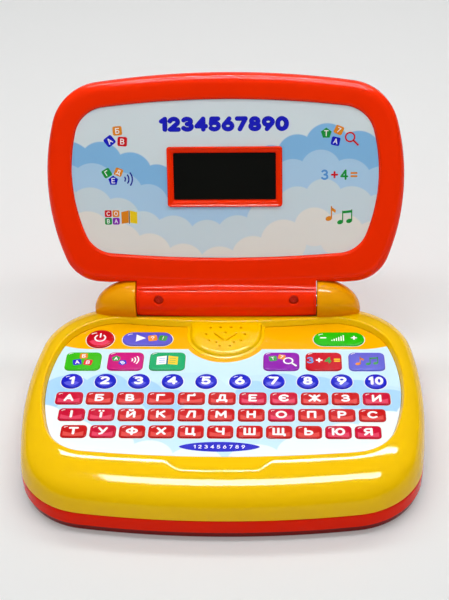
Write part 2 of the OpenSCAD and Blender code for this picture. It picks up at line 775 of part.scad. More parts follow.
module speaker_cone() {
    color([0.12, 0.12, 0.12]) at_speaker() rotate_extrude() polygon([
        [speaker_hole_r - 0.2, 0], [speaker_hole_r - 0.7, -cone_t],
        [surround_r + 1.5, 0.7 - cone_t], [surround_r, -cone_t], [cap_edge_r, -3.4 - cone_t],
        [0, -1.6 - cone_t], [0, -1.6], [cap_edge_r, -3.4], [surround_r, 0], [surround_r + 1.5, 0.7]]);
}

module speaker_magnet() {
    color([0.2, 0.2, 0.21]) at_speaker() rotate_extrude() polygon([
        [0, -speaker_depth + 1], [3.8, -speaker_depth + 1], [3.8, -speaker_depth],
        [magnet_r, -speaker_depth], [magnet_r, -speaker_depth - magnet_h],
        [0, -speaker_depth - magnet_h]]);
}

// ---- hinge pins and wiring ----

pin_in = 7;

module hinge_pins() {
    color(steel) in_base() translate([0, 0, hinge_z]) at_both_ends() difference() {
        union() {
            bar_x(pin_r, barrel_half - pin_in, dome_x + dome_plate + 1.6);
            bar_x(pin_r + 1.6, dome_x + dome_plate, dome_x + dome_plate + 1.5);
        }
        bar_x(pin_bore_r, barrel_half - pin_in - 1, dome_x + dome_plate + 3);
    }
}

lead_r = 1.4;
wire_join = -dome_x + 2;
wire_gap = 0.3;
wire_turn = -dome_x - 9;

// A wire bundle along straight runs with mitred bends: one ring of points at each bend,
// slid along the run before it onto the plane that halves the bend
wire_sides = 10;
function unit(v) = v / norm(v);
function mitre(ring, dir, at, normal) = [for (p = ring) p + dir * (((at - p) * normal) / (dir * normal))];
function run_dir(points, k) = unit(points[k + 1] - points[k]);
function bend_normal(points, k) =
    k == len(points) - 1 ? run_dir(points, k - 1) : run_dir(points, k - 1) + run_dir(points, k);
function first_ring(points, r) =
    let (d = run_dir(points, 0), side = unit(cross(d, abs(d[2]) < 0.9 ? [0, 0, 1] : [0, 1, 0])),
         up = cross(d, side))
    [for (i = [0 : wire_sides - 1]) let (a = 360 * i / wire_sides)
        points[0] + r * cos(a) * side + r * sin(a) * up];
function wire_rings(points, rings) =
    len(rings) == len(points) ? rings :
    let (k = len(rings))
    wire_rings(points, concat(rings,
        [mitre(rings[k - 1], run_dir(points, k - 1), points[k], bend_normal(points, k))]));

module wire_run(points, r) { loft(wire_rings(points, [first_ring(points, r)])); }

module base_wiring() {
    board_top = board_z + board_t;
    color([0.75, 0.1, 0.1]) in_base() {
        // display lead from the board, up the left dome and into the pin
        wire_run([[wire_join, 0, hinge_z], [wire_turn, 0, hinge_z], [wire_turn, -2, 26],
                  [wire_turn - 2, -40, 20], [board_x + 6, board_y + 20, 15],
                  [board_x + 6, board_y + 20, board_top]], lead_r);
        // speaker lead
        wire_run([[board_x + 22, board_y + 14, board_top], [board_x + 22, board_y + 14, 22],
                  [-16, -speaker_y - 2, 22], [-magnet_r - 0.8, -speaker_y, 24]], 0.8);
        // battery lead
        wire_run([[board_x + 26, board_y - 8, board_top], [board_x + 26, board_y - 8, 16],
                  [-box_in_x - box_wall, board_y - 8, 16]], 0.8);
    }
}

// ---- lid ----

lid_split = -1;
plate_n = 2.2;
seat_n = plate_n + wall;
window_t = 1.2;
glass_t = 2.8;
lcd_board_t = 1.2;
glass_n = plate_n - window_t - glass_t;
lcd_board_w = 92;
lcd_board_h = 50;
lcd_board_n = glass_n - lcd_board_t;
lcd_posts = corner_spots(lcd_board_w, lcd_board_h);
lid_posts = [[-91, 125], [91, 125], [-94, 44], [94, 44]];
lid_post_n = -3;
lid_head_n = 2;
barrel_in_r = 9.6;
end_disc = 1.2;
sleeve_r = 7.2;
cover_edge = 8.4;
cover_gap = 0.1;
cover_screw_x = 44.6;
cover_screw_y = 2.2;
cover_head_n = 6;
cover_post_n = 1;
dome_room = 2.6;
lug_in = 10.9;
lug_top = 17;
lead_x = -50.1;
lead_n = -3.6;

module barrel_solid() {
    steps = 12;
    rotate([0, 90, 0]) rotate_extrude() polygon(concat(
        [[0, barrel_half], [0, -barrel_half]],
        [for (i = [-steps : steps]) let (f = i / steps)
            [barrel_r - barrel_taper * f * f, f * barrel_half]]));
}

// A profile in the lid's Y and Z, run along the length of the barrel
module along_barrel(half) {
    translate([-half, 0, 0]) rotate([90, 0, 90]) linear_extrude(2 * half) children();
}

// Room that the lid leaves for the domes and for the hollow of the barrel
module lid_clearances() {
    for (side = [-1, 1]) translate([side * barrel_half, 0, 0]) rotate([0, side * 90, 0])
        rotate_extrude() dome_profile(dome_r + dome_room, dome_len + dome_room + 1);
    bar_x(barrel_in_r, end_disc - barrel_half, barrel_half - end_disc);
}

module lid_back() {
    back = -lid_outer;
    color(orange) in_lid() difference() {
        union() {
            difference() {
                union() {
                    loft([
                        at_height(outline(lid_outline, 9), back),
                        at_height(outline(lid_outline, 5), back + 0.4),
                        at_height(outline(lid_outline, 2.3), back + 1.5),
                        at_height(outline(lid_outline, 0.7), back + 3.4),
                        at_height(outline(lid_outline, 0), back + 5.6),
                        at_height(outline(lid_outline, 0), lid_split),
                        at_height(outline(lid_outline, wall), lid_split),
                        at_height(outline(lid_outline, wall), back + 5.6),
                        at_height(outline(lid_outline, wall + 1.6), back + 3.2),
                        at_height(outline(lid_outline, wall + 4.5), back + wall)]);
                    intersection() {
                        barrel_solid();
                        translate([-barrel_half - 1, -barrel_r - 1, -barrel_r - 1])
                            cube([2 * barrel_half + 2, 2 * barrel_r + 2, barrel_r + 1 + lid_split]);
                    }
                    along_barrel(barrel_half) polygon([
                        [5, lid_split], [lug_in, lid_split], [lug_in, back + wall],
                        [lug_top + 3, back + wall], [lug_top + 3, back], [6, back]]);
                }
                lid_clearances();
            }
            // closed ends of the barrel with sleeves for the pins
            at_both_ends() {
                bar_x(barrel_r - barrel_taper, barrel_half - end_disc, barrel_half);
                bar_x(sleeve_r, barrel_half - pin_in, barrel_half);
            }
            // web and posts inside the barrel that take the cover's screws
            intersection() {
                bar_x(barrel_r - 1, -barrel_half, barrel_half);
                for (side = [-1, 1]) translate([side * cover_screw_x, cover_screw_y, -barrel_r])
                    cylinder(r = 3.4, h = barrel_r + cover_post_n);
            }
            at_both_ends() translate([barrel_half - pin_in, -0.8, 1 - barrel_r])
                cube([pin_in - end_disc / 2, 1.6, barrel_r - sleeve_r]);
            for (p = lid_posts) translate([p[0], p[1], back + wall - 0.5])
                cylinder(r = 4, h = lid_post_n - back - wall + 0.5);
        }
        at_both_ends() bar_x(pin_r + pin_fit, barrel_half - pin_in - 1, barrel_half + 1);
        for (side = [-1, 1]) translate([side * cover_screw_x, cover_screw_y, cover_post_n - 9])
            cylinder(r = screw_r + screw_fit, h = 10);
        // way for the display lead from the barrel into the lid
        translate([lead_x - 2.2, 4, lead_n - 2.2]) cube([4.4, 10, lid_split - lead_n + 3]);
        for (p = lid_posts) translate([p[0], p[1], back - 1]) {
            cylinder(r = screw_head_r + 0.3, h = lid_head_n + head_h + 1);
            cylinder(r = screw_r + 0.3, h = 12);
        }
    }
}

module lid_front() {
    color(orange) in_lid() difference() {
        union() {
            difference() {
                union() {
                    loft([
                        at_height(outline(lid_outline, wall), plate_n),
                        at_height(outline(lid_outline, wall), lid_split),
                        at_height(outline(lid_outline, 0), lid_split),
                        at_height(outline(lid_outline, 0.1), lid_face - 5),
                        at_height(outline(lid_outline, 0.7), lid_face - 3.2),
                        at_height(outline(lid_outline, 1.9), lid_face - 1.6),
                        at_height(outline(lid_outline, 3.8), lid_face - 0.5),
                        at_height(outline(lid_outline, 6.2), lid_face),
                        at_height(outline(sheet_outline, -3.2), lid_face - 0.2),
                        at_height(outline(sheet_outline, -1.4), lid_face - 0.6),
                        at_height(outline(sheet_outline, -sheet_fit), lid_face - 1.5),
                        at_height(outline(sheet_outline, -sheet_fit), seat_n)]);
                    along_barrel(barrel_half) polygon([
                        [cover_edge + cover_gap, lid_split], [lug_in, lid_split], [lug_in, plate_n],
                        [lug_top, plate_n], [lug_top, lid_face], [cover_edge + cover_gap, lid_face]]);
                    intersection() {
                        barrel_solid();
                        translate([-barrel_half - 1, cover_edge + cover_gap, lid_split])
                            cube([2 * barrel_half + 2, barrel_r, 2 * barrel_r]);
                    }
                }
                lid_clearances();
            }
            // raised frame round the display
            translate([0, view_t, seat_n - 0.5]) linear_extrude(lid_face - seat_n + 0.2)
                rounded_rect(view_w + 2 * frame_w, view_h + 2 * frame_w, 2.2);
            for (p = lcd_posts) translate([p[0], view_t + p[1], glass_n])
                cylinder(r = 2.6, h = plate_n - glass_n + 0.5);
            for (p = lid_posts) translate([p[0], p[1], lid_post_n])
                cylinder(r = 3.6, h = plate_n - lid_post_n + 0.5);
        }
        // room for the closed ends of the barrel
        at_both_ends() bar_x(barrel_r - barrel_taper + cover_gap,
                             barrel_half - end_disc - cover_gap, barrel_half + 1);
        translate([0, view_t, plate_n - 1]) linear_extrude(lid_face) rounded_rect(view_w, view_h, 1);
        for (p = lcd_posts) translate([p[0], view_t + p[1], glass_n - 1]) cylinder(r = 1.1, h = 4);
        for (p = lid_posts) translate([p[0], p[1], lid_post_n - 1])
            cylinder(r = screw_r + screw_fit, h = plate_n - lid_post_n + 0.6);
    }
}

cover_half = barrel_half - end_disc - cover_gap;

module hinge_cover() {
    color(orange) in_lid() difference() {
        union() {
            difference() {
                intersection() {
                    barrel_solid();
                    translate([-cover_half, -2 * barrel_r, lid_split + cover_gap])
                        cube([2 * cover_half, 2 * barrel_r + cover_edge, 2 * barrel_r]);
                }
                bar_x(barrel_in_r, -barrel_half, barrel_half);
            }
            for (side = [-1, 1]) translate([side * cover_screw_x, cover_screw_y, cover_head_n - 2])
                cylinder(r = 4.4, h = 5.5);
        }
        for (side = [-1, 1]) translate([side * cover_screw_x, cover_screw_y, 0]) {
            translate([0, 0, cover_head_n]) cylinder(r = screw_head_r + 0.2, h = barrel_r);
            cylinder(r = screw_r + 0.2, h = barrel_r);
        }
    }
}

module cover_screws() {
    color(steel) in_lid() for (side = [-1, 1])
        translate([side * cover_screw_x, cover_screw_y, cover_head_n + head_h]) rotate([180, 0, 0])
            screw(cover_head_n - cover_post_n + 6);
}

module lid_screws() {
    len = plate_n - lid_head_n + lid_outer - head_h - 0.8;
    color(steel) in_lid() for (p = lid_posts)
        translate([p[0], p[1], lid_head_n - lid_outer]) screw(len);
}

module lid_sheet() {
    color([0.75, 0.88, 0.96]) in_lid() translate([0, 0, seat_n]) linear_extrude(sheet_t) difference() {
        polygon(outline(sheet_outline));
        translate([0, view_t])
            rounded_rect(view_w + 2 * frame_w + 0.5, view_h + 2 * frame_w + 0.5, 2.4);
    }
}

module lcd_window() {
    color([0.1, 0.1, 0.12]) in_lid() translate([0, view_t, plate_n - window_t])
        linear_extrude(window_t) rounded_rect(view_w + 4, view_h + 4, 1);
}

module lcd_glass() {
    color([0.2, 0.22, 0.2]) in_lid() translate([0, view_t, glass_n])
        linear_extrude(glass_t) rounded_rect(view_w + 3, view_h + 3, 0.5);
}

module lcd_board() {
    color(board_green) in_lid() difference() {
        translate([-lcd_board_w / 2, view_t - lcd_board_h / 2, lcd_board_n])
            cube([lcd_board_w, lcd_board_h, lcd_board_t]);
        for (p = lcd_posts) translate([p[0], view_t + p[1], lcd_board_n - 1]) cylinder(r = 1.3, h = 4);
    }
}

module lcd_screws() {
    color(steel) in_lid() for (p = lcd_posts) translate([p[0], view_t + p[1], lcd_board_n]) {
        translate([0, 0, -1.1]) cylinder(r = 2.2, h = 1.1);
        cylinder(r = 1.04, h = lcd_board_t + 2.6);
    }
}

module lid_wiring() {
    end_x = 10 - lcd_board_w / 2;
    end_y = view_t - lcd_board_h / 2 + 8;
    color([0.75, 0.1, 0.1]) in_lid() wire_run([
        [wire_join + wire_gap, 0, 0], [lead_x, 0, 0], [lead_x, lug_in + 1, lead_n],
        [lead_x, end_y - 40, lead_n - 1], [end_x, end_y, lead_n - 1.3],
        [end_x, end_y, lcd_board_n]], lead_r);
}

lower_case();
upper_case();
keyboard_film();
spacer_sheet();
contact_membrane();
number_key(1);  // number_key_1
number_key(2);  // number_key_2
number_key(3);  // number_key_3
number_key(4);  // number_key_4
number_key(5);  // number_key_5
number_key(6);  // number_key_6
number_key(7);  // number_key_7
number_key(8);  // number_key_8
number_key(9);  // number_key_9
number_key(10);  // number_key_10
mode_key(1);  // mode_key_1
mode_key(2);  // mode_key_2
mode_key(3);  // mode_key_3
mode_key(4);  // mode_key_4
mode_key(5);  // mode_key_5
mode_key(6);  // mode_key_6
power_key();
play_key();
volume_key();
letter_row(1);  // letter_row_1
letter_row(2);  // letter_row_2
letter_row(3);  // letter_row_3
main_board();
board_parts();
speaker_frame();
speaker_cone();
speaker_magnet();
batteries();
battery_contacts();
battery_springs();
battery_door();
door_screw();
rubber_feet();
case_screws();
hinge_pins();
base_wiring();
lid_front();
lid_back();
hinge_cover();
cover_screws();
lid_screws();
lid_sheet();
lcd_window();
lcd_glass();
lcd_board();
lcd_screws();
lid_wiring();
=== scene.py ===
"""Looks of a toy laptop computer: moulded shells, printed film keyboard, lid with a display.

Lengths in this file are millimetres; mesh_of() turns them to metres. BASE has its Y origin
on the hinge axis and its Z origin on the floor. LID has X along the hinge axis, Y up the lid
and Z out of its screen side.
"""

import json
import math
from functools import partial

import bmesh
import bpy
from mathutils import Matrix, Vector


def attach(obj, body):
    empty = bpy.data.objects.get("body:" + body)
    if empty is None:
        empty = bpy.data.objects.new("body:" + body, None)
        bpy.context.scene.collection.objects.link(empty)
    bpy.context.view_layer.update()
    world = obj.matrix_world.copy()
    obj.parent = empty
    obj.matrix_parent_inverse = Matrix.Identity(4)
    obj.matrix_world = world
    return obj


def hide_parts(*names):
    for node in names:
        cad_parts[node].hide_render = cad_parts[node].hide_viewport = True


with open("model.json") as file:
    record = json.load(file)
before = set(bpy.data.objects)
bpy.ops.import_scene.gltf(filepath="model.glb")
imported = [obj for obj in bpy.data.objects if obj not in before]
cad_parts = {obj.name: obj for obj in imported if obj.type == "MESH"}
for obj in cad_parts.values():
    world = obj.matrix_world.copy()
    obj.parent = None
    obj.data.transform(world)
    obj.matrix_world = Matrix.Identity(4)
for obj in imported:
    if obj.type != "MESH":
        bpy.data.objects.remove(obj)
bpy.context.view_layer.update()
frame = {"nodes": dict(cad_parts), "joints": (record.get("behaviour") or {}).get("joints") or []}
nodes = frame["nodes"]

MM = 0.001
LEAN = 20
hinge = Vector(next(j["pos_m"] for j in frame["joints"] if j["name"] == "lid_hinge")) / MM
BASE = Matrix.Translation((0, hinge.y, 0))
LID = Matrix.Translation(hinge) @ Matrix.Rotation(math.radians(90 - LEAN), 4, "X")

# Base: parting line of its shells, bottom shell's foot, crest of the rim, deck under the film
WALL = 2.0
PART_Z, FOOT_Z, CREST_Z, DECK_Z = 16.0, 1.2, 39.0, 33.2
FILM_Z, FILM_T, KEY_Z0, KEY_Z1 = 35.2, 0.8, 34.2, 36.4

# Hinge: barrel on the lid, trough and domes on the base (a dome curls in by DOME_CURL degrees and
# closes at DOME_END_Z), cover over the front of the barrel
BARREL_R, BARREL_TAPER, BARREL_HALF, BARREL_IN = 12.6, 1.0, 59.4, 9.6
TROUGH_R, DOME_X, DOME_LEN, DOME_R, DOME_CURL, DOME_END_Z = 12.95, 60.0, 29.0, 13.4, 32, 37
COVER_Y, SCREW_X, SCREW_Y = 8.4, 44.6, 2.2

# Lid: Z of its face, back and parting line, its printed sheet, the display's opening and frame
LID_FACE, LID_BACK, LID_SPLIT = 6.5, -9.0, -1.0
SEAT_Z, SHEET_T = 4.2, 0.5
VIEW_W, VIEW_H, VIEW_Y, FRAME_W = 66.4, 31.4, 83.6, 4.0

# Places (x, y) of screws and feet, and the battery door's opening with its latch
CASE_SCREWS = ((-98, -36), (98, -36), (-104, -120), (104, -120), (-45, -158), (45, -158))
FEET = [(x, y) for x in (-88, 88) for y in (-18, -142)]
LID_SCREWS = ((-91, 125), (91, 125), (-94, 44), (94, 44))
DOOR = ((26.6, -63.5), (-26.6, -63.5), (-26.6, -112.5), (-6.9, -112.5), (-6.9, -121),
        (6.9, -121), (6.9, -112.5), (26.6, -112.5))

# Outlines of four kinds of arc: half width, Y of the widest place, side radius,
# rear Y, rear radius, rear corner radius, front Y, front radius, front corner radius
PART = (126.5, -77.6, 306, 17.5, 900, 50, -175, 580, 46.7)
CREST = (115, -77.6, 140, -11.5, -900, 42, -150, 744, 32)
FILM = (111, -77.6, 131, -18.5, -510, 37, -141, 744, 27)
SHELL = (116, 80.8, 147, 150, 595, 34, 9, 1100, 25)
SHEET = (99.2, 85.4, 111, 133.8, 648, 21.5, 29.4, 888, 19.7)
ARC_STEPS = (56, 14, 22, 14, 30)


# ---- outlines ----

def arc(centre, radius, start, stop, steps, last=False):
    """Points on an arc; angles in degrees."""
    turns = [math.radians(start + (stop - start) * i / steps) for i in range(steps + last)]
    return [Vector((centre[0] + radius * math.cos(a), centre[1] + radius * math.sin(a))) for a in turns]


def spoke(r, degrees):
    return Vector((r * math.cos(math.radians(degrees)), r * math.sin(math.radians(degrees))))


def heading(a, b):
    return math.degrees(math.atan2(b[1] - a[1], b[0] - a[0]))


def crossing(a, ra, b, rb):
    """Where two circles cross, on the side with the larger X."""
    d = (b - a).length
    u = (b - a) / d
    along = (ra * ra - rb * rb + d * d) / (2 * d)
    side = Vector((-u.y, u.x)) * math.sqrt(max(0, ra * ra - along * along))
    return max(a + u * along + side, a + u * along - side, key=lambda p: p.x)


def outline(o, inset=0.0):
    """The closed outline drawn in by inset, anticlockwise from the front middle."""
    side, rear, front = Vector((o[0] - o[2], o[1])), Vector((0, o[3] - o[4])), Vector((0, o[6] + o[7]))
    rs, rr, rf, r_rear, r_front = (o[k] - inset for k in (2, 4, 7, 5, 8))
    c_rear = crossing(side, rs - r_rear, rear, abs(rr - r_rear))
    c_front = crossing(side, rs - r_front, front, rf - r_front)
    a_front, a_low = heading(front, c_front), heading(side, c_front)
    a_high, a_rear = heading(side, c_rear), heading(rear, c_rear)
    outward = rr > 0
    arcs = ((front, rf, -90, a_front), (c_front, r_front, a_front, a_low), (side, rs, a_low, a_high),
            (c_rear, r_rear, a_high, a_rear + (0 if outward else 180)),
            (rear, abs(rr), a_rear, 90 if outward else -90))
    half = [p for piece, steps in zip(arcs, ARC_STEPS) for p in arc(*piece, steps)]
    half.append(Vector((0, o[3] - inset)))
    return half + [Vector((-p.x, p.y)) for p in half[-2:0:-1]]


def blend(a, b, t):
    return [p.lerp(q, t) for p, q in zip(a, b)]


def at_z(points, z):
    return [Vector((p.x, p.y, z)) for p in points]


def at_x(points, x):
    """Stands a flat section up across the hinge axis."""
    return [Vector((x, p.x, p.y)) for p in points]


def corners(*pairs):
    """Corner points from (x, y) pairs."""
    return [Vector(pair) for pair in pairs]


def rounded_rect(w, h, r, grow=0.0, steps=6):
    r = r + grow
    points = []
    for k, (sx, sy) in enumerate(((1, 1), (-1, 1), (-1, -1), (1, -1))):
        centre = (sx * (w / 2 + grow - r), sy * (h / 2 + grow - r))
        points += arc(centre, r, 90 * k, 90 * (k + 1), steps, last=True)
    return points


def disc(r, steps=40):
    return arc((0, 0), r, 0, 360, steps)


def moved(points, x, y, turn=0.0, scale=1.0):
    spin = Matrix.Rotation(math.radians(turn), 2)
    return [spin @ p * scale + Vector((x, y)) for p in points]


def smooth(t):
    t = min(1.0, max(0.0, t))
    return t * t * (3 - 2 * t)


def smooth_min(a, b, k):
    """The lower of two heights, rounded over k where they cross."""
    h = max(k - abs(a - b), 0) / k
    return min(a, b) - h * h * k / 4


# ---- pieces ----

def loft(bm, rings, caps=True):
    """Skin through rings that have the same number of points: each ring is drawn out of the last."""
    verts = [bm.verts.new(p) for p in rings[0]]
    edges = [bm.edges.new(pair) for pair in zip(verts, verts[1:] + verts[:1])]
    if caps:
        bm.faces.new(verts)
    for points in rings[1:]:
        place = dict(zip(verts, points))
        swept = bmesh.ops.extrude_edge_only(bm, edges=edges)["geom"]
        fresh = {}
        for vert in (g for g in swept if isinstance(g, bmesh.types.BMVert)):
            source = next(e.other_vert(vert) for e in vert.link_edges if e.other_vert(vert) in place)
            vert.co = place[source]
            fresh[source] = vert
        verts = [fresh[v] for v in verts]
        edges = [bm.edges.get(pair) for pair in zip(verts, verts[1:] + verts[:1])]
    if caps:
        bm.faces.new(verts)
    return bm


def lofted(rings, caps=True):
    return loft(bmesh.new(), rings, caps)


def cylinder(bm, r, x, y, z0, z1, segments=32):
    bmesh.ops.create_cone(bm, cap_ends=True, segments=segments, radius1=r, radius2=r,
                          depth=z1 - z0, matrix=Matrix.Translation((x, y, (z0 + z1) / 2)))


def well(bm, x, y, steps, segments=48):
    """A round hole or post from (radius, Z) steps."""
    loft(bm, [at_z(moved(disc(r, segments), x, y), z) for r, z in steps])


def box(bm, low, high, turn=0.0):
    low, high = Vector(low), Vector(high)
    centre = Matrix.Translation((low + high) / 2) @ Matrix.Rotation(math.radians(turn), 4, "Z")
    bmesh.ops.create_cube(bm, size=1, matrix=centre @ Matrix.Diagonal((*(high - low), 1)))


def mesh_of(bm, name, at):
    """The mesh of a bmesh in millimetres, put in its place in metres."""
    bmesh.ops.recalc_face_normals(bm, faces=bm.faces)
    bm.transform(Matrix.Scale(MM, 4) @ at)
    mesh = bpy.data.meshes.new(name)
    bm.to_mesh(mesh)
    bm.free()
    return mesh


def new_object(name, mesh):
    obj = bpy.data.objects.new(name, mesh)
    bpy.context.scene.collection.objects.link(obj)
    return obj


def placed(name, bm, at):
    return new_object(name, mesh_of(bm, name, at))


def evaluated_mesh(obj):
    """The mesh that an object has after its modifiers, or that a curve fills."""
    bpy.context.view_layer.update()
    return bpy.data.meshes.new_from_object(obj.evaluated_get(bpy.context.evaluated_depsgraph_get()))


def cut(obj, bm, at):
    """Takes a bmesh solid out of an object."""
    tool = placed("cutter", bm, at)
    boolean = obj.modifiers.new("cut", "BOOLEAN")
    boolean.operation, boolean.solver, boolean.object = "DIFFERENCE", "EXACT", tool
    done = evaluated_mesh(obj)
    obj.modifiers.clear()
    obj.data = done
    bpy.data.objects.remove(tool)


def shade(obj, sharp):
    """Smooth shading, with creases kept where faces meet at more than sharp degrees."""
    bm = bmesh.new()
    bm.from_mesh(obj.data)
    bmesh.ops.remove_doubles(bm, verts=bm.verts, dist=1e-6)
    for face in bm.faces:
        face.smooth = True
    for edge in bm.edges:
        edge.smooth = len(edge.link_faces) == 2 and edge.calc_face_angle(0) < math.radians(sharp)
    bm.to_mesh(obj.data)
    bm.free()


def finish_piece(obj, body, finishes, stands_for=(), sharp=32):
    shade(obj, sharp)
    for finish in finishes if isinstance(finishes, (list, tuple)) else [finishes]:
        obj.data.materials.append(finish)
    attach(obj, body)
    if stands_for:
        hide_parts(*stands_for)


def new_piece(name, bm, at, body, finishes, stands_for=(), sharp=32):
    finish_piece(placed(name, bm, at), body, finishes, stands_for, sharp)


# ---- materials ----

def linear(code):
    """Linear colour from an sRGB hex code."""
    parts = [int(code[k:k + 2], 16) / 255 for k in (0, 2, 4)]
    return tuple(c / 12.92 if c <= 0.04045 else ((c + 0.055) / 1.055) ** 2.4 for c in parts) + (1.0,)


def feed(node, inputs):
    """Sets inputs of a node, by name or number, each to a value or from another node's output."""
    for key, value in inputs.items():
        if isinstance(value, bpy.types.NodeSocket):
            node.id_data.links.new(value, node.inputs[key])
        else:
            node.inputs[key].default_value = value


def add(tree, kind, inputs=None, out=0, **settings):
    """Adds a node with its settings and links, and returns one of its outputs."""
    node = tree.nodes.new(kind)
    for key, value in settings.items():
        setattr(node, key, value)
    feed(node, inputs or {})
    return node.outputs[out]


def material(name, roughness, ior=1.5, metallic=0.0, mirror=0.4):
    """A material with its shader; returns the material, its tree and the shader."""
    mat = bpy.data.materials.new(name)
    mat.use_nodes = True
    shader = mat.node_tree.nodes["Principled BSDF"]
    feed(shader, {"Roughness": roughness, "IOR": ior, "Metallic": metallic})
    if not metallic:
        feed(shader, {"Specular IOR Level": mirror})
    return mat, mat.node_tree, shader


def mottle(tree, shader, size_mm, shade_a, shade_b):
    """Colour that drifts between two shades in blotches about size_mm across."""
    drift = add(tree, "ShaderNodeTexNoise", {
        "Vector": add(tree, "ShaderNodeTexCoord", out="Object"), "Scale": 1 / (size_mm * MM)})
    feed(shader, {"Base Color": add(
        tree, "ShaderNodeMix", {0: drift, 6: shade_a, 7: shade_b}, 2, data_type="RGBA")})


def ripples(tree, shader, layers):
    """Unevenness of a surface from (size, detail, depth) layers, one on top of the other."""
    normal = {}
    for size_mm, detail, depth in layers:
        height = add(tree, "ShaderNodeTexNoise", {
            "Vector": add(tree, "ShaderNodeTexCoord", out="Object"), "Scale": 1 / (size_mm * MM),
            "Detail": detail})
        normal = {"Normal": add(tree, "ShaderNodeBump", {
            "Height": height, "Strength": 1.0, "Distance": depth * MM, **normal})}
    feed(shader, normal)


def moulded(name, code, darker, roughness, mirror):
    """Injection-moulded ABS: even dyed colour with slow flow shading, and a polished skin that
    is never quite flat. The grain that breaks up its reflections is coarser than the real one,
    which is too fine to show."""
    mat, tree, shader = material(name, roughness, 1.54, mirror=mirror)
    mottle(tree, shader, 60, linear(code), linear(darker))
    grain = add(tree, "ShaderNodeTexNoise", {
        "Vector": add(tree, "ShaderNodeTexCoord", out="Object"), "Scale": 1 / (1.2 * MM), "Detail": 3})
    feed(shader, {"Roughness": add(tree, "ShaderNodeMapRange", {
        "Value": grain, "To Min": roughness - 0.02, "To Max": roughness + 0.03})})
    ripples(tree, shader, ((22, 1, 0.008), (0.5, 2, 0.0015)))
    return mat


def zone(mat, code, low, high, blur):
    """Paints a darker colour into a moulding between two heights above the floor, as painted shade."""
    tree = mat.node_tree
    shader = tree.nodes["Principled BSDF"]
    height = add(tree, "ShaderNodeSeparateXYZ", {0: add(tree, "ShaderNodeTexCoord", out="Object")}, 2)
    above, below = (add(tree, "ShaderNodeMapRange", {
        "Value": height, "From Min": start * MM, "From Max": stop * MM})
        for start, stop in ((low, low + blur), (high, high - blur)))
    share = add(tree, "ShaderNodeMath", {0: above, 1: below}, operation="MULTIPLY")
    base = shader.inputs["Base Color"].links[0].from_socket
    feed(shader, {"Base Color": add(
        tree, "ShaderNodeMix", {0: share, 6: base, 7: linear(code)}, 2, data_type="RGBA")})


def plain(name, code, roughness, grain_mm, depth, variation=0.06, metallic=0.0):
    """A simple finish with a fine grain and a little unevenness of colour."""
    mat, tree, shader = material(name, roughness, metallic=metallic)
    lighter = linear(code)
    darker = tuple(c * (1 - 2 * variation) for c in lighter[:3]) + (1.0,)
    mottle(tree, shader, grain_mm * 6, lighter, darker)
    ripples(tree, shader, ((grain_mm, 3, depth),))
    return mat


def clouds(tree, plane, circles, soft=0.35):
    """1 inside a union of circles (x, y, r), 0 outside."""
    nearest = None
    for x, y, r in circles:
        away = add(tree, "ShaderNodeVectorMath", {0: plane, 1: (x, y, 0)}, "Value", operation="DISTANCE")
        gap = add(tree, "ShaderNodeMath", {0: away, 1: float(r)}, operation="SUBTRACT")
        nearest = gap if nearest is None else add(
            tree, "ShaderNodeMath", {0: nearest, 1: gap}, operation="MINIMUM")
    return add(tree, "ShaderNodeMapRange", {"Value": nearest, "From Min": soft, "From Max": -soft})


def cloudy_sky(tree, plane, sky, banks):
    """A sky with its banks of cloud, each drawn over the one before it."""
    colour = linear(sky)
    for code, circles in banks:
        colour = add(tree, "ShaderNodeMix", {
            0: clouds(tree, plane, circles), 6: colour, 7: linear(code)}, 2, data_type="RGBA")
    return colour


def plane_mm(tree, at):
    """Flat millimetre coordinates of a print that lies in the frame at."""
    place = at.inverted() @ Matrix.Scale(1 / MM, 4)
    laid = add(tree, "ShaderNodeMapping", {
        "Vector": add(tree, "ShaderNodeTexCoord", out="Object"), "Location": place.to_translation(),
        "Rotation": place.to_euler(), "Scale": (1 / MM,) * 3})
    return add(tree, "ShaderNodeVectorMath", {0: laid, 1: (1, 1, 0)}, operation="MULTIPLY")


# ABS, polished: deep, even colours that draw the lamps as soft-edged lines
YELLOW = moulded("abs_yellow_polished", "F8C800", "F3BF00", 0.05, 0.15)
ORANGE = moulded("abs_orange_red_polished", "FF3200", "FA2C00", 0.07, 0.11)
RED = moulded("abs_red_polished", "F42400", "EC1E00", 0.12, 0.06)
# The same yellow on the hinge domes, made warmer as painted shade and painted orange light bounced from the
# barrel and lid
DOME_YELLOW_PAINTED_BOUNCE = moulded("abs_yellow_polished_painted_bounce_light", "F8A800", "F3A000", 0.05, 0.15)
# The same red, with painted shade on the foot of the lower shell: the tucked-in skirt is painted dark where
# little light reaches it
SKIRT_RED_PAINTED_SHADE = moulded("abs_red_polished_skirt_painted_shade", "F42400", "EC1E00", 0.12, 0.06)
zone(SKIRT_RED_PAINTED_SHADE, "7A0400", 1.25, 6.5, 0.2)
# Zinc-plated steel: grey metal with a fine grain
STEEL = plain("screw_zinc_plated", "B9BCC0", 0.3, 0.6, 0.004, metallic=1.0)
# Nickel plate: brighter and warmer than zinc
NICKEL = plain("spring_nickel_plated", "C9C7C1", 0.2, 0.8, 0.002, metallic=1.0)
# Moulded rubber: matt, near black, pebbled
RUBBER = plain("rubber_moulded_matt", "232326", 0.75, 0.5, 0.02)
# Polyester sheet: milky, with a satin skin
CLEAR = plain("polyester_sheet_milky", "DADBD2", 0.4, 3.0, 0.003)


# ---- camera, light and backdrop ----

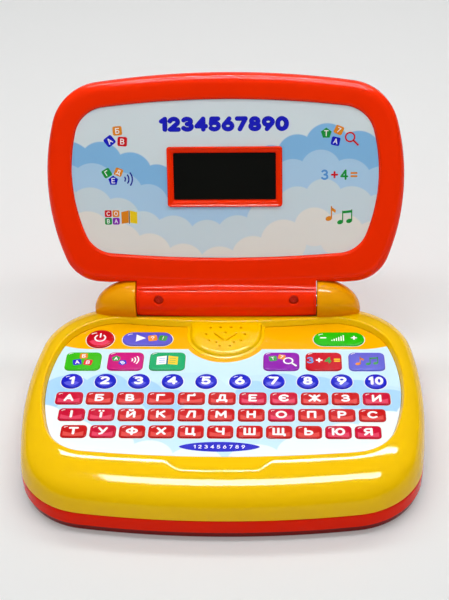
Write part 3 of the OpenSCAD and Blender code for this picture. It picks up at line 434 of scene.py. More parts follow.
# Lamps: name, place, aim and size in metres, power in watts. The lamps that light the object don't
# show in its gloss, and those that draw the lines along the gloss don't light it, so that each has
# its own level.
LIGHT_LAMPS = (
    ("panel", (0.15, -1.0, 1.7), (0, 0.02, 0.05), (2.0, 1.2), 11.6),
    ("strip_front", (0.0, -0.09, 1.2), (0, -0.09, 0.03), (1.3, 0.16), 5.6),
    ("strip_rear", (0.0, 0.51, 1.15), (0, 0.0, 0.05), (1.7, 0.16), 5.6))
GLOSS_LAMPS = (
    ("strip_front_gloss", (0.17, -0.09, 1.18), (0.17, -0.09, 0.03), (0.96, 0.15), 21.0),
    ("strip_rear_gloss", (0.15, 0.50, 1.13), (0.15, 0.0, 0.05), (1.4, 0.12), 30.0))

# Camera: tilt, heading and roll in degrees, the point it looks at and its distance,
# and its focal length and the width of the view in pixels
VIEW_ANGLES = (37.182, -3.414, -2.115)
TARGET, DISTANCE = Vector((-2.865, 79.581, 27.774)), 943.981
FOCAL_PX, WIDTH_PX, SENSOR = 1370.5, 449, 36


def studio():
    scene = bpy.context.scene
    scene.view_settings.view_transform = "Standard"

    tilt, head, roll = (math.radians(a) for a in VIEW_ANGLES)
    forward = Vector((math.sin(head) * math.cos(tilt), math.cos(head) * math.cos(tilt), -math.sin(tilt)))
    right = forward.cross(Vector((0, 0, 1))).normalized()
    up = right.cross(forward)
    right, up = right * math.cos(roll) + up * math.sin(roll), up * math.cos(roll) - right * math.sin(roll)
    data = bpy.data.cameras.new("camera")
    data.sensor_fit, data.sensor_width = "HORIZONTAL", SENSOR
    data.lens = SENSOR * FOCAL_PX / WIDTH_PX
    camera = new_object("camera", data)
    turn = Matrix((right, up, -forward)).transposed().to_4x4()
    camera.matrix_world = Matrix.Translation((TARGET - forward * DISTANCE) * MM) @ turn
    scene.camera = camera

    # The world is dim at the horizon and brighter overhead
    world = bpy.data.worlds.new("world")
    scene.world = world
    world.use_nodes = True
    tree = world.node_tree
    upward = add(tree, "ShaderNodeSeparateXYZ", {0: add(tree, "ShaderNodeTexCoord", out="Generated")}, 2)
    level = add(tree, "ShaderNodeMapRange", {
        "Value": upward, "From Min": 0.0, "From Max": 1.0, "To Min": 0.06, "To Max": 0.42})
    feed(tree.nodes["Background"], {"Color": (0.98, 0.99, 1.0, 1), "Strength": level})

    for lamps, shines in ((LIGHT_LAMPS, False), (GLOSS_LAMPS, True)):
        for name, place, aim, size, power in lamps:
            light = bpy.data.lights.new(name, "AREA")
            light.shape, light.size, light.size_y, light.energy = "RECTANGLE", size[0], size[1], power
            lamp = new_object(name, light)
            lamp.visible_diffuse, lamp.visible_glossy = not shines, shines
            turn = (Vector(aim) - Vector(place)).to_track_quat("-Z", "Y").to_matrix().to_4x4()
            lamp.matrix_world = Matrix.Translation(place) @ turn

    # Pale seamless floor of white board; the camera and the gloss see it partly lit from itself
    bm = bmesh.new()
    bmesh.ops.create_grid(bm, x_segments=8, y_segments=8, size=4000)
    paper, tree, shader = material("backdrop_white_board", 0.9)
    feed(shader, {"Base Color": linear("F2F3F2")})
    lit = add(tree, "ShaderNodeEmission", {"Color": linear("F3F3F2"), "Strength": 1.0})
    path = add(tree, "ShaderNodeLightPath").node.outputs
    seen = path["Is Camera Ray"]
    for ray in ("Is Glossy Ray", "Is Transmission Ray"):
        seen = add(tree, "ShaderNodeMath", {0: seen, 1: path[ray]}, operation="MAXIMUM")
    share = add(tree, "ShaderNodeMath", {0: seen, 1: 0.24}, operation="MULTIPLY")
    shown = add(tree, "ShaderNodeMixShader", {0: share, 1: shader.outputs[0], 2: lit})
    feed(tree.nodes["Material Output"], {"Surface": shown})
    floor = placed("backdrop", bm, Matrix.Identity(4))
    floor.data.materials.append(paper)

    # The panel leaves the floor out, so that the shadow at the foot of the case stays deep
    spared = bpy.data.collections.new("left_out_by_panel")
    spared.objects.link(floor)
    spared.collection_objects[0].light_linking.link_state = "EXCLUDE"
    bpy.data.objects["panel"].light_linking.receiver_collection = spared


studio()


# ---- upper case ----

# Slope of the bulged wall in degrees against the share of the way up its section
WALL_SLOPES = ((0, 82), (0.1, 80), (0.22, 72), (0.55, 27), (0.585, 24.8), (0.7, 20.8), (1, 10.4))
# Rim of the case: height against the share of the way in from the crest to the film
RIM = ((0.1, 38.57), (0.2, 38.72), (0.3, 38.85), (0.4, 38.95), (0.46, CREST_Z), (0.53, 38.97),
       (0.6, 38.8), (0.67, 38.45), (0.74, 37.9), (0.82, 37.15), (0.9, 36.4), (0.97, 35.86))
# Top of the bulged wall, depth of the finger notch, where it ends and how long its ends are
WALL_TOP, NOTCH, NOTCH_X, NOTCH_END = 38.42, 1.75, 33, 11
# Speaker boss: (grow, Z) up its side, and its holes
BOSS = ((2.9, 33.4), (2.9, 35.25), (2.7, 35.5), (2.2, 35.62), (1.5, 35.72), (1.0, 35.9), (0.75, 36.3),
        (0.5, 36.9), (0.1, 37.4), (-0.5, 37.8), (-1.3, 38.1), (-2.3, 38.3), (-3.6, 38.42), (-5.2, 38.48),
        (-8, 38.5))
GRILLE_Y, GRILLE_R, GRILLE_Z = -31.9, 0.95, (36.9, 40)
GRILLE = ((3.4, 10.1), (10, 9.6), (12.7, 2.8), (10.4, -3.6), (5.6, -5.4), (3.4, -9.2))


def wall_rise(steps):
    """Shares of the way in and up along the bulged wall."""
    inward, upward = [0.0], [0.0]
    for k in range(steps):
        share = (k + 0.5) / steps
        (s0, a0), (s1, a1) = next(
            pair for pair in zip(WALL_SLOPES, WALL_SLOPES[1:]) if share <= pair[1][0])
        slope = math.radians(a0 + (a1 - a0) * (share - s0) / (s1 - s0))
        inward.append(inward[-1] + math.cos(slope))
        upward.append(upward[-1] + math.sin(slope))
    return [(a / inward[-1], b / upward[-1]) for a, b in zip(inward, upward)]


def notch(point):
    """Presses the front rim down to the finger notch, in a soft S at each end."""
    if point.y > -100:
        return point
    low = CREST_Z - NOTCH * smooth((NOTCH_X - abs(point.x)) / NOTCH_END)
    return Vector((point.x, point.y, smooth_min(point.z, low + 0.12, 0.5)))


def upper_case():
    part, crest, film = outline(PART), outline(CREST), outline(FILM, -0.35)
    rings = [at_z(outline(FILM, -2.2), DECK_Z - WALL), at_z(outline(FILM, -2.4), CREST_Z - 2 * WALL)]
    inner_part, inner_crest = outline(PART, WALL), outline(CREST, WALL)
    for inward, upward in reversed(wall_rise(8)[:-1]):
        height = PART_Z + (CREST_Z - WALL - PART_Z) * upward
        rings.append(at_z(blend(inner_part, inner_crest, inward), height))
    rings += [at_z(outline(PART, 0.6), PART_Z), at_z(outline(PART, 0.12), PART_Z + 0.15)]
    for inward, upward in wall_rise(40):
        height = PART_Z + 0.6 + (WALL_TOP - PART_Z - 0.6) * upward
        rings.append([notch(p) for p in at_z(blend(part, crest, inward), height)])
    rings += [[notch(p) for p in at_z(blend(crest, film, share), height)] for share, height in RIM]
    rings += [at_z(film, z) for z in (35.62, 35.4, DECK_Z)]
    case = placed("upper_shell", lofted(rings), BASE)
    trough = bmesh.new()
    bmesh.ops.create_cone(
        trough, cap_ends=True, segments=96, radius1=TROUGH_R, radius2=TROUGH_R, depth=2 * DOME_X,
        matrix=Matrix.Translation((0, 0, hinge.z)) @ Matrix.Rotation(math.pi / 2, 4, "Y"))
    cut(case, trough, BASE)
    finish_piece(case, "base", YELLOW, ["upper_case"])

    # Wall of the trough where the barrel cuts through the case
    centre = (0, hinge.z)
    section = arc(centre, TROUGH_R + WALL, 215, 298, 24, True) + arc(centre, TROUGH_R, 298, 215, 24, True)
    trough = lofted([at_x(section, x) for x in (-DOME_X - 1, DOME_X + 1)])
    new_piece("barrel_trough", trough, BASE, "base", YELLOW)

    # Hinge domes: each has a round end, and curves in below the axis before it goes straight down
    stations = [(0.0, DOME_R - 0.6, 1), (0.15, DOME_R - 0.25, 1), (0.5, DOME_R, 1)]
    stations += [(DOME_LEN * math.sin(a), DOME_R, max(0.01, math.cos(a)))
                 for a in (math.radians(4 + 86 * k / 26) for k in range(27))]
    for side, name in ((-1, "hinge_dome_left"), (1, "hinge_dome_right")):
        rings = []
        for along, r, share in stations:
            foot = spoke(r, -DOME_CURL).x
            section = arc(centre, r, -DOME_CURL, 180 + DOME_CURL, 36, True) + corners((-foot, 30), (foot, 30))
            section = [Vector((p.x * share, DOME_END_Z + (p.y - DOME_END_Z) * share)) for p in section]
            rings.append(at_x(section, side * (DOME_X + along)))
        # The domes' warmer yellow is painted shade and painted bounce light from the orange parts beside them
        new_piece(name, lofted(rings), BASE, "base", DOME_YELLOW_PAINTED_BOUNCE)


def boss_outline(grow):
    """The D of the speaker boss; it flares where it meets the rear rim."""
    r, mid = 22.6 + grow, -25.4
    stops = (-24, -22, -20, -19, -18, -17, -16, -15, -13.5)
    side = [(r + 2.6 * smooth((y + 20) / 6) ** 2, y) for y in stops]
    return arc((0, mid), r, 180, 360, 56, True) + corners(*side, *((-x, y) for x, y in reversed(side)))


def speaker_boss():
    boss = placed("speaker_boss", lofted([at_z(boss_outline(grow), z) for grow, z in BOSS]), BASE)
    holes = bmesh.new()
    low, high = GRILLE_Z
    for x, y in GRILLE:
        for side in (-1, 1):
            cylinder(holes, GRILLE_R, side * x, GRILLE_Y + y, low, high, segments=20)
    cylinder(holes, GRILLE_R, 0, GRILLE_Y + 4.6, low, high, segments=20)
    for side in (-1, 1):
        x, y = side * 4.1, GRILLE_Y
        box(holes, (x - 5.2, y - 0.5, low), (x + 5.2, y + 0.5, high), side * 48.5)
    cut(boss, holes, BASE)
    finish_piece(boss, "base", YELLOW, sharp=40)


upper_case()
speaker_boss()


# ---- lower case ----

# Side of the lower case from foot to parting line and back down inside: (inset, Z)
LOWER_WALL = ((2.5, FOOT_Z), (1.9, 1.35), (1.5, 1.8), (1.15, 3.0), (0.8, 4.6), (0.5, 6.1), (0.3, 6.35),
              (0, 6.65), (0, 12), (0, 14.9), (0.15, 15.3), (0.6, 15.55), (1.1, 15.6), (1.1, PART_Z),
              (WALL, PART_Z), (WALL, 7.8), (4.4, 3.2))


def lower_case():
    case = placed("lower_shell", lofted([at_z(outline(PART, inset), z) for inset, z in LOWER_WALL]), BASE)
    holes = lofted([at_z(corners(*DOOR), z) for z in (-1, 5)])
    for x, y in CASE_SCREWS:
        cylinder(holes, 3.2, x, y, -1, 9)
    for x, y in FEET:
        cylinder(holes, 6.05, x, y, -1, 2.8, segments=48)
    cut(case, holes, BASE)
    # The lower shell's skirt carries painted shade in its colour
    finish_piece(case, "base", SKIRT_RED_PAINTED_SHADE, ["lower_case"])

    # Battery box over the door: a tray of thin walls, upside down
    bm = bmesh.new()
    box(bm, (-29.2, -117.1, 3.1), (29.2, -58.9, 19.8))
    bmesh.ops.delete(bm, geom=[f for f in bm.faces if f.calc_center_median().z < 3.2], context="FACES")
    bmesh.ops.solidify(bm, geom=bm.faces[:], thickness=1.6)
    new_piece("battery_box", bm, BASE, "base", RED)


lower_case()


# ---- lid ----

# Bezel from its inside to its face, (inset, Z), and on down to the sheet's seat, (grow, Z)
BEZEL = ((WALL, 2.2), (WALL, LID_SPLIT + 0.1), (0.35, LID_SPLIT + 0.1), (0.1, LID_SPLIT + 0.3),
         (0, LID_SPLIT + 0.7), (0, 0.6), (0.06, 1.5), (0.25, 2.4), (0.6, 3.2), (1.1, 4.0), (1.8, 4.8),
         (2.7, 5.5), (3.8, 6.0), (5.0, 6.32), (6.2, 6.45), (8.0, LID_FACE))
SEAT_WALL = ((5.0, LID_FACE), (2.6, 6.42), (1.7, 6.3), (1.1, 6.05), (0.7, 5.6), (0.4, 5.0), (0.3, SEAT_Z))
# Raised frame round the display, mitred outside and stepped down to the window inside: (grow, Z)
FRAME = ((FRAME_W, 3.9), (FRAME_W, 5.7), (FRAME_W - 0.15, 6.1), (FRAME_W - 0.5, 6.25),
         (FRAME_W - 0.9, 6.1), (FRAME_W - 1.3, 5.6), (FRAME_W - 1.7, 5.4), (1.2, 5.4), (0.9, 5.3),
         (0.7, 4.9), (0.2, 3.2), (0.0, 1.9))
# Rear half of the lid from its back, round the edge and in: (inset, Z)
REAR = ((11, LID_BACK), (8.6, -8.97), (6.4, -8.8), (4.4, -8.4), (2.9, -7.7), (1.7, -6.8), (0.8, -5.6),
        (0.25, -4.4), (0, -3.2), (0, -1.7), (0.1, -1.3), (0.35, -1.1), (WALL, -1.1), (WALL, -3.4),
        (3.6, -5.8), (6.5, -7))
# Where the lid's two halves meet on the barrel's lug
LUG_Y = 10.9


def barrel_radius(x):
    return BARREL_R - BARREL_TAPER * (x / BARREL_HALF) ** 2


def along_x(section, half, round_end=0.4, steps=24):
    """Runs a section along the barrel; it gives points in the lid's Y and Z for a barrel radius."""
    stops = [(-half, round_end), (-half + 0.15, 0.15 * round_end), (-half + round_end, 0)]
    stops += [(-half + 2 * half * k / steps, 0) for k in range(1, steps)]
    stops += [(-x, drop) for x, drop in reversed(stops[:3])]
    return lofted([at_x(section(barrel_radius(x) - drop), x) for x, drop in stops])


def lug_section(r):
    """Front of the lug: flat under the screen, rolling forward on to the barrel."""
    points = []
    for k in range(19):
        y = 22 - (22 - COVER_Y - 0.1) * k / 18
        barrel_z = math.sqrt(max(0, r * r - y * y)) if y < r else -9
        points.append(Vector((y, -smooth_min(-LID_FACE, -barrel_z, 1.6) - 0.12)))
    return points + corners((COVER_Y + 0.1, LID_SPLIT), (LUG_Y, LID_SPLIT), (LUG_Y, 2.2), (22, 2.2))


def cover_section(r):
    start = math.degrees(math.acos(COVER_Y / r))
    edge = [spoke(r - 0.35, start + 0.3), spoke(r - 0.08, start + 0.9)]
    return (edge + arc((0, 0), r, start + 2.2, 184, 48, True)
            + arc((0, 0), BARREL_IN, 184, start + 4, 24, True))


def rear_section(r):
    """Rear half of the barrel, running up into the back of the lid."""
    outer = arc((0, 0), r, 184.6, 309.6, 40, True)
    last = outer[-1].x
    for k in range(1, 13):
        y = last + (20 - last) * k / 12
        barrel_z = -math.sqrt(max(0, r * r - y * y)) if y < r else 9
        outer.append(Vector((y, smooth_min(LID_BACK + 0.05, barrel_z, 1.6))))
    inner = corners((20, -7), (LUG_Y, -7), (LUG_Y, LID_SPLIT))
    return outer + inner + arc((0, 0), BARREL_IN, -6, -174, 24, True)


def dome_room():
    """Room the lid leaves round the hinge domes."""
    bm = bmesh.new()
    for side in (-1, 1):
        rims = [spoke(1, 89 * k / 16) for k in range(17)]
        loft(bm, [at_x(disc(15.0 * rim.x, 48), side * (BARREL_HALF + 32.6 * rim.y)) for rim in rims])
    return bm


def display_ring(grow):
    """The display's opening grown outwards, with tight corners."""
    return moved(rounded_rect(VIEW_W + 2 * grow, VIEW_H + 2 * grow, 1 + 0.2 * grow), 0, VIEW_Y)


def lid():
    rings = [at_z(outline(SHELL, inset), z) for inset, z in BEZEL]
    rings += [at_z(outline(SHEET, -grow), z) for grow, z in SEAT_WALL]
    front = placed("lid_bezel", lofted(rings), LID)
    cut(front, lofted([at_z(display_ring(0), z) for z in (0, 12)]), LID)
    cut(front, dome_room(), LID)
    finish_piece(front, "lid", ORANGE, ["lid_front"])

    lug = along_x(lug_section, BARREL_HALF)
    new_piece("lid_lug_front", lug, LID, "lid", ORANGE)
    rings = [at_z(display_ring(grow), z) for grow, z in FRAME]
    new_piece("display_frame", lofted(rings + rings[:1], caps=False), LID, "lid", ORANGE,
              sharp=50)

    back = placed("lid_rear", lofted([at_z(outline(SHELL, inset), z) for inset, z in REAR]), LID)
    holes = bmesh.new()
    for x, y in LID_SCREWS:
        well(holes, x, y, ((4.0, -10), (3.2, -8.4), (3.2, -6)))
    cut(back, holes, LID)
    cut(back, dome_room(), LID)
    finish_piece(back, "lid", ORANGE, ["lid_back"])

    lug = along_x(rear_section, BARREL_HALF)
    new_piece("lid_lug_rear", lug, LID, "lid", ORANGE)
    for side, name in ((-1, "barrel_end_left"), (1, "barrel_end_right")):
        bm = lofted([at_x(disc(r, 64), side * (BARREL_HALF - x)) for x, r in (
            (1.2, 11.55), (0.4, 11.55), (0.1, 11.4), (0, 11.1))])
        new_piece(name, bm, LID, "lid", ORANGE)

    # Cover over the front of the barrel, with its two screw wells
    cover = placed("barrel_cover", along_x(cover_section, BARREL_HALF - 1.3, round_end=0.3), LID)
    wells = bmesh.new()
    for side in (-1, 1):
        well(wells, side * SCREW_X, SCREW_Y, ((3.1, 6), (3.1, 11.4), (4.9, 13.4)))
    cut(cover, wells, LID)
    finish_piece(cover, "lid", ORANGE, ["hinge_cover"])


lid()


# ---- prints ----

# Shades of cloud, from the farthest bank to the nearest, with the circles (x, y, r) of each bank
FILM_BANKS = (
    ("C4E6F8", [(-60, -98, 30), (-20, -90, 26), (25, -96, 30), (66, -92, 26), (100, -100, 24),
                (-100, -96, 22)]),
    ("A6D4F6", [(-98, -84, 17), (-74, -80, 15), (-52, -86, 15), (-33, -92, 12), (20, -84, 12),
                (38, -78, 13), (60, -82, 14), (84, -86, 15), (104, -94, 14)]),
    ("C4E6F8", [(-88, -104, 16), (-60, -104, 14), (-40, -112, 14), (-14, -106, 14), (12, -108, 13),
                (36, -100, 12), (60, -106, 13), (84, -112, 14)]),
    ("ECF8F8", [(-112, -112, 17), (-92, -126, 18), (-66, -132, 15), (-42, -142, 15), (-14, -150, 18),
                (22, -148, 18), (50, -138, 16), (76, -128, 17), (102, -120, 20), (120, -104, 13)]))
LID_BANKS = (
    ("86BEEA", [(-104, 86, 22), (-80, 93, 14), (-61, 86, 14), (-44, 80, 12), (30, 92, 12), (47, 98, 13),
                (66, 104, 14), (86, 98, 15), (104, 90, 14)]),
    ("B0D4F0", [(-106, 72, 21), (-86, 78, 15), (-68, 72, 15), (-50, 66, 13), (-30, 58, 12), (-12, 55, 12),
                (6, 60, 12), (26, 72, 13), (44, 82, 13), (62, 88, 13), (80, 80, 15), (102, 72, 18)]),
    ("D2E2E9", [(-108, 56, 21), (-88, 62, 15), (-70, 56, 14), (-54, 48, 13), (-34, 44, 14), (-12, 42, 13),
                (8, 44, 14), (28, 54, 14), (47, 64, 13), (64, 70, 12), (82, 62, 15), (102, 54, 18)]),
    ("ECE9E2", [(-110, 42, 21), (-90, 46, 15), (-70, 38, 15), (-50, 32, 14), (-28, 25, 14), (-4, 22, 15),
                (18, 30, 14), (38, 40, 15), (58, 50, 13), (76, 44, 15), (98, 36, 18)]))
# Where the film's amber band starts, and where its front edge begins to curl up
AMBER_Y, CURL_X = -40.6, 88.0


def film_material():
    """Printed polyester film, gloss laminated: pale blue sky with cloud banks and an amber
    band at the rear; the gloss is slightly uneven where the film lies over the switches."""
    mat, tree, shader = material("polyester_film_printed_gloss", 0.1, 1.57, mirror=0.1)
    plane = plane_mm(tree, BASE)
    axis = add(tree, "ShaderNodeSeparateXYZ", {0: plane}).node.outputs
    curl = axis[0]
    for operation, value in (("ABSOLUTE", 0.0), ("SUBTRACT", CURL_X), ("MAXIMUM", 0.0), ("POWER", 2.0),
                             ("MULTIPLY", 0.0115)):
        curl = add(tree, "ShaderNodeMath", {0: curl, 1: value}, operation=operation)
    edge = add(tree, "ShaderNodeMath", {0: axis[1], 1: curl}, operation="SUBTRACT")
    amber = add(tree, "ShaderNodeMapRange", {
        "Value": edge, "From Min": AMBER_Y - 0.2, "From Max": AMBER_Y + 0.2})
    round_boss = clouds(tree, plane, [(0, -25.8, 28.2)], 0.2)
    amber = add(tree, "ShaderNodeMath", {0: amber, 1: round_boss}, operation="MAXIMUM")
    sky = cloudy_sky(tree, plane, "CAEBF8", FILM_BANKS)
    feed(shader, {"Base Color": add(
        tree, "ShaderNodeMix", {0: amber, 6: sky, 7: linear("F4B202")}, 2, data_type="RGBA")})
    ripples(tree, shader, ((9, 1, 0.03),))
    return mat


def sheet_material():
    """Printed card behind a satin film: grey-white sky and four banks of cloud."""
    mat, tree, shader = material("polyester_sheet_printed_satin", 0.34, 1.5, mirror=0.3)
    feed(shader, {"Base Color": cloudy_sky(tree, plane_mm(tree, LID), "DCE8EC", LID_BANKS)})
    ripples(tree, shader, ((30, 2, 0.06),))
    return mat


# Screen-printed inks under the gloss laminate: flat, even colours. The sheen inks are painted reflections,
# lighter copies of the key colours.
INK_CODES = {
    "white": "FAFAFA", "blue": "1B1EC8", "deep_blue": "14209E", "red": "D8141E", "orange": "E88A1C",
    "green": "1E9A3C", "yellow": "F6D21E", "sky": "5B9BE0", "purple": "8E22B8", "painted_sheen_red": "E2453F",
    "painted_sheen_crimson": "E43A5E", "painted_sheen_blue": "5658DE", "near_black": "2A2430"}
INKS = list(INK_CODES)
INK_FINISHES = [plain("ink_" + name, code, 0.2, 4.0, 0.004, 0.015) for name, code in INK_CODES.items()]
# Each layer of ink lies this far over the one below
LAYER = 0.03


def paint(bm, points, z, colour):
    """One flat printed shape."""
    face = bm.faces.new([bm.verts.new((p.x, p.y, z)) for p in points])
    face.material_index = INKS.index(colour)


def stroke(bm, points, width, z, colour):
    """A painted line with round ends through points that turn gently."""
    first, last = points[0], points[-1]
    if (last - first).length < 1e-3 and len(points) == 2:
        return paint(bm, moved(disc(width / 2, 12), first.x, first.y), z, colour)
    sides = []
    for k in range(len(points)):
        along = (points[min(k + 1, len(points) - 1)] - points[max(k - 1, 0)]).normalized()
        sides.append(Vector((-along.y, along.x)) * width / 2)
    a0, a1 = (math.degrees(math.atan2(side.y, side.x)) for side in (sides[0], sides[-1]))
    outer = [p - side for p, side in zip(points, sides)]
    inner = [p + side for p, side in zip(points, sides)]
    end = arc(last, width / 2, a1 - 180, a1, 8)[1:]
    start = arc(first, width / 2, a0, a0 + 180, 8)[1:]
    paint(bm, outer + end + inner[::-1] + start, z, colour)


# Strokes of each sign on a grid SIGN_H high: straight runs as x, y pairs, and after @ an arc as
# centre x, centre y, radius x, radius y, start and end in degrees
SIGN_H = 7
SIGNS = {
    "А": "0,0,2.6,7,5.2,0;1.1,2.3,4.1,2.3", "Б": "4.4,7,0,7,0,0,2.4,0;0,4,2.4,4;@2.4,2,2.1,2,-90,90",
    "В": "2.2,7,0,7,0,0,2.4,0;0,3.6,2.4,3.6;@2.2,5.3,1.8,1.7,-90,90;@2.4,1.8,2.1,1.8,-90,90",
    "Г": "0,0,0,7,4.2,7", "Ґ": "0,0,0,6.6,4,6.6,4,8",
    "Д": "0,-1.1,0,0.5,6,0.5,6,-1.1;1.2,0.5,2.1,7,4.8,7,4.8,0.5", "Е": "4.2,7,0,7,0,0,4.2,0;0,3.6,3.6,3.6",
    "Є": "@3,3.5,3,3.5,40,180;@3,3.5,3,3.5,180,320;0.2,3.5,3.4,3.5",
    "Ж": "3.4,0,3.4,7;0.2,7,3.4,3.6,6.6,7;0,0,3.4,3.6,6.8,0",
    "З": "@2,5.3,2,1.7,-90,150;@2.1,1.8,2.3,1.8,-150,90;1.4,3.6,2,3.6", "И": "0,7,0,0,4.8,7,4.8,0",
    "І": "0,0,0,7", "Ї": "0,0,0,5.2;-1.2,7.4,-1.2,7.4;1.2,7.4,1.2,7.4",
    "Й": "0,6.2,0,0,4.6,6.2,4.6,0;@2.3,8.9,1.2,1,200,340", "К": "0,0,0,7;4.4,7,0.3,3.2;1.6,4.2,4.8,0",
    "Л": "0,0,1.5,7,4.8,7,4.8,0", "М": "0,0,0.3,7,3.1,2,5.9,7,6.2,0",
    "Н": "0,0,0,7;4.6,0,4.6,7;0,3.6,4.6,3.6", "О": "@3,3.5,3,3.5,0,180;@3,3.5,3,3.5,180,360",
    "П": "0,0,0,7,4.6,7,4.6,0", "Р": "0,0,0,7,2.2,7;0,3,2.2,3;@2.2,5,2.1,2,-90,90",
    "С": "@3,3.5,3,3.5,45,180;@3,3.5,3,3.5,180,315", "Т": "0,7,5,7;2.5,0,2.5,7",
    "У": "0,7,2.7,2.6;5,7,2.1,0.6,0.7,0",
    "Ф": "3.2,-0.4,3.2,7.4;@3.2,3.6,3.2,2.3,0,180;@3.2,3.6,3.2,2.3,180,360", "Х": "0,0,4.8,7;0,7,4.8,0",
    "Ц": "0,7,0,0,5.3,0,5.3,-1.3;4.2,0,4.2,7", "Ч": "0,7,0,4.7;@2,4.7,2,1.7,180,270;2,3,4.4,3;4.4,0,4.4,7",
    "Ш": "0,7,0,0,6.4,0,6.4,7;3.2,0,3.2,7", "Щ": "0,7,0,0,7.3,0,7.3,-1.3;3.1,0,3.1,7;6.2,0,6.2,7",
    "Ь": "0,7,0,0,2.2,0;0,4,2.2,4;@2.2,2,2.1,2,-90,90",
    "Ю": "0,0,0,7;0,3.5,2,3.5;@4.6,3.5,2.5,3.5,0,180;@4.6,3.5,2.5,3.5,180,360",
    "Я": "4.4,0,4.4,7,2.2,7;4.4,3,2.2,3;@2.2,5,2.1,2,90,270;2.4,3,0.2,0",
    "0": "@2.3,3.5,2.3,3.5,0,180;@2.3,3.5,2.3,3.5,180,360", "1": "0,5.4,1.8,7,1.8,0",
    "2": "@2.1,5,2.1,2,-25,165;4,4.1,0.1,0,4.5,0", "3": "@2,5.3,2,1.7,-90,150;@2.1,1.8,2.3,1.8,-150,90",
    "4": "3.5,0,3.5,7,0,2.1,4.8,2.1", "5": "4.1,7,0.7,7,0.4,3.9;@2.1,2.2,2.3,2.2,-145,140",
    "6": "@2.2,2.2,2.2,2.2,0,180;@2.2,2.2,2.2,2.2,180,360;0.3,3.1,2.9,7", "7": "0,7,4.4,7,1.4,0",
    "8": "@2.2,5.3,1.8,1.7,0,180;@2.2,5.3,1.8,1.7,180,360;@2.2,1.8,2.2,1.8,0,180;@2.2,1.8,2.2,1.8,180,360",
    "9": "@2.2,4.8,2.2,2.2,0,180;@2.2,4.8,2.2,2.2,180,360;4.1,3.9,1.5,0",
    "+": "0,3.5,4.4,3.5;2.2,1.3,2.2,5.7", "=": "0,4.8,4.2,4.8;0,2.2,4.2,2.2",
    "?": "@2,5.2,2,1.8,-70,170;2.6,3.5,2,2.6;2,0.2,2,0.2", "!": "0,7,0,2.8;0,0.2,0,0.2"}


def sign_runs(sign):
    """The strokes of a sign as lists of points."""
    runs = []
    for part in SIGNS[sign].split(";"):
        numbers = [float(number) for number in part.strip("@").split(",")]
        if part[0] == "@":
            x, y, rx, ry, start, stop = numbers
            turn = arc((0, 0), 1, start, stop, 12, True)
            runs.append([Vector((x + p.x * rx, y + p.y * ry)) for p in turn])
        else:
            points = corners(*zip(numbers[::2], numbers[1::2]))
            runs += [list(pair) for pair in zip(points, points[1:])]
    return runs


def letters(bm, text, height, x, y, z, colour, weight, turn=0.0, wide=1.0, gap=1.1):
    """Bold round-ended characters, centred on x, y; height is a capital's, stroke width included."""
    runs, pen = [], 0.0
    for sign in text:
        strokes = sign_runs(sign)
        left = min(p.x for run in strokes for p in run)
        right = max(p.x for run in strokes for p in run)
        runs += [[Vector(((p.x - left) * wide + pen, p.y)) for p in run] for run in strokes]
        pen += (right - left) * wide + weight + gap
    pen -= weight + gap
    scale = height / (SIGN_H + weight)
    for k, run in enumerate(runs):
        centred = [Vector((p.x - pen / 2, p.y - SIGN_H / 2)) for p in run]
        stroke(bm, moved(centred, x, y, turn, scale), weight * scale, z + 0.004 * (k % 8), colour)


def flat_sheet(name, loops, z0, z1, at):
    """A flat sheet with holes, from its outline and the outlines of its holes."""
    curve = bpy.data.curves.new(name, "CURVE")
    curve.dimensions, curve.fill_mode = "2D", "BOTH"
    curve.extrude = (z1 - z0) / 2
    for points in loops:
        spline = curve.splines.new("POLY")
        spline.points.add(len(points) - 1)
        for target, p in zip(spline.points, points):
            target.co = (p.x, p.y, 0, 1)
        spline.use_cyclic_u = True
    obj = new_object(name, curve)
    mesh = evaluated_mesh(obj)
    bpy.data.objects.remove(obj)
    mesh.transform(Matrix.Scale(MM, 4) @ at @ Matrix.Translation((0, 0, (z0 + z1) / 2)))
    return new_object(name, mesh)


# ---- keys ----

LETTERS = ("АБВГҐДЕЄЖЗИ", "ІЇЙКЛМНОПРС", "ТУФХЦЧШЩЬЮЯ")
VOWELS = "АЕЄИІЇОУЮЯ"
NUMBER_Y, MODE_Y, ROUND_Y, ROW_Y, FIGURES_Y = -73.1, -53.7, -30.7, -89.4, -132.4
NUMBER_PITCH, LETTER_PITCH, ROW_PITCH = 21.3, 19.1, 15.2
LETTER_GAP, LETTER_H, LETTER_R = 2.1, 11.2, 2.6
# Each letter row is this much narrower and lower than the one behind it
SHRINK, LOWER = 0.965, 0.02
MODE_X = (-91, -63.6, -36.6, 36.6, 63.6, 91)
POWER_X, PLAY_X, VOLUME_X = -82.4, -51.2, 74.0
PAD_TOP = KEY_Z1 + LAYER
SIGN_Z = PAD_TOP + LAYER


def number_shape(grow=0.0):
    return disc(6.8 + grow, 44)


def power_shape(grow=0.0):
    return disc(9.1 + grow, 56)


def mode_shape(grow=0.0):
    return rounded_rect(23.0, 17.6, 3.6, grow)


def pill_shape(grow=0.0):
    return rounded_rect(32.8, 13.5, 6.7, grow, steps=12)


def letter_width(row):
    return (LETTER_PITCH - LETTER_GAP) * SHRINK ** row


def letter_shape(row, grow=0.0):
    return rounded_rect(letter_width(row), LETTER_H * (1 - LOWER * row), LETTER_R, grow)


def letter_place(row, i):
    return (i - 5) * LETTER_PITCH * SHRINK ** row, ROW_Y - row * ROW_PITCH


def pad(bm, shape, x, y):
    """A key: a low dome pressed out of the film, with a soft rim and a flat top for its print."""
    loft(bm, [at_z(moved(shape(grow), x, y), z) for grow, z in (
        (0, KEY_Z0), (0, KEY_Z1 - 0.75), (-0.12, KEY_Z1 - 0.4), (-0.4, KEY_Z1 - 0.16),
        (-0.85, KEY_Z1 - 0.04), (-1.4, KEY_Z1))])


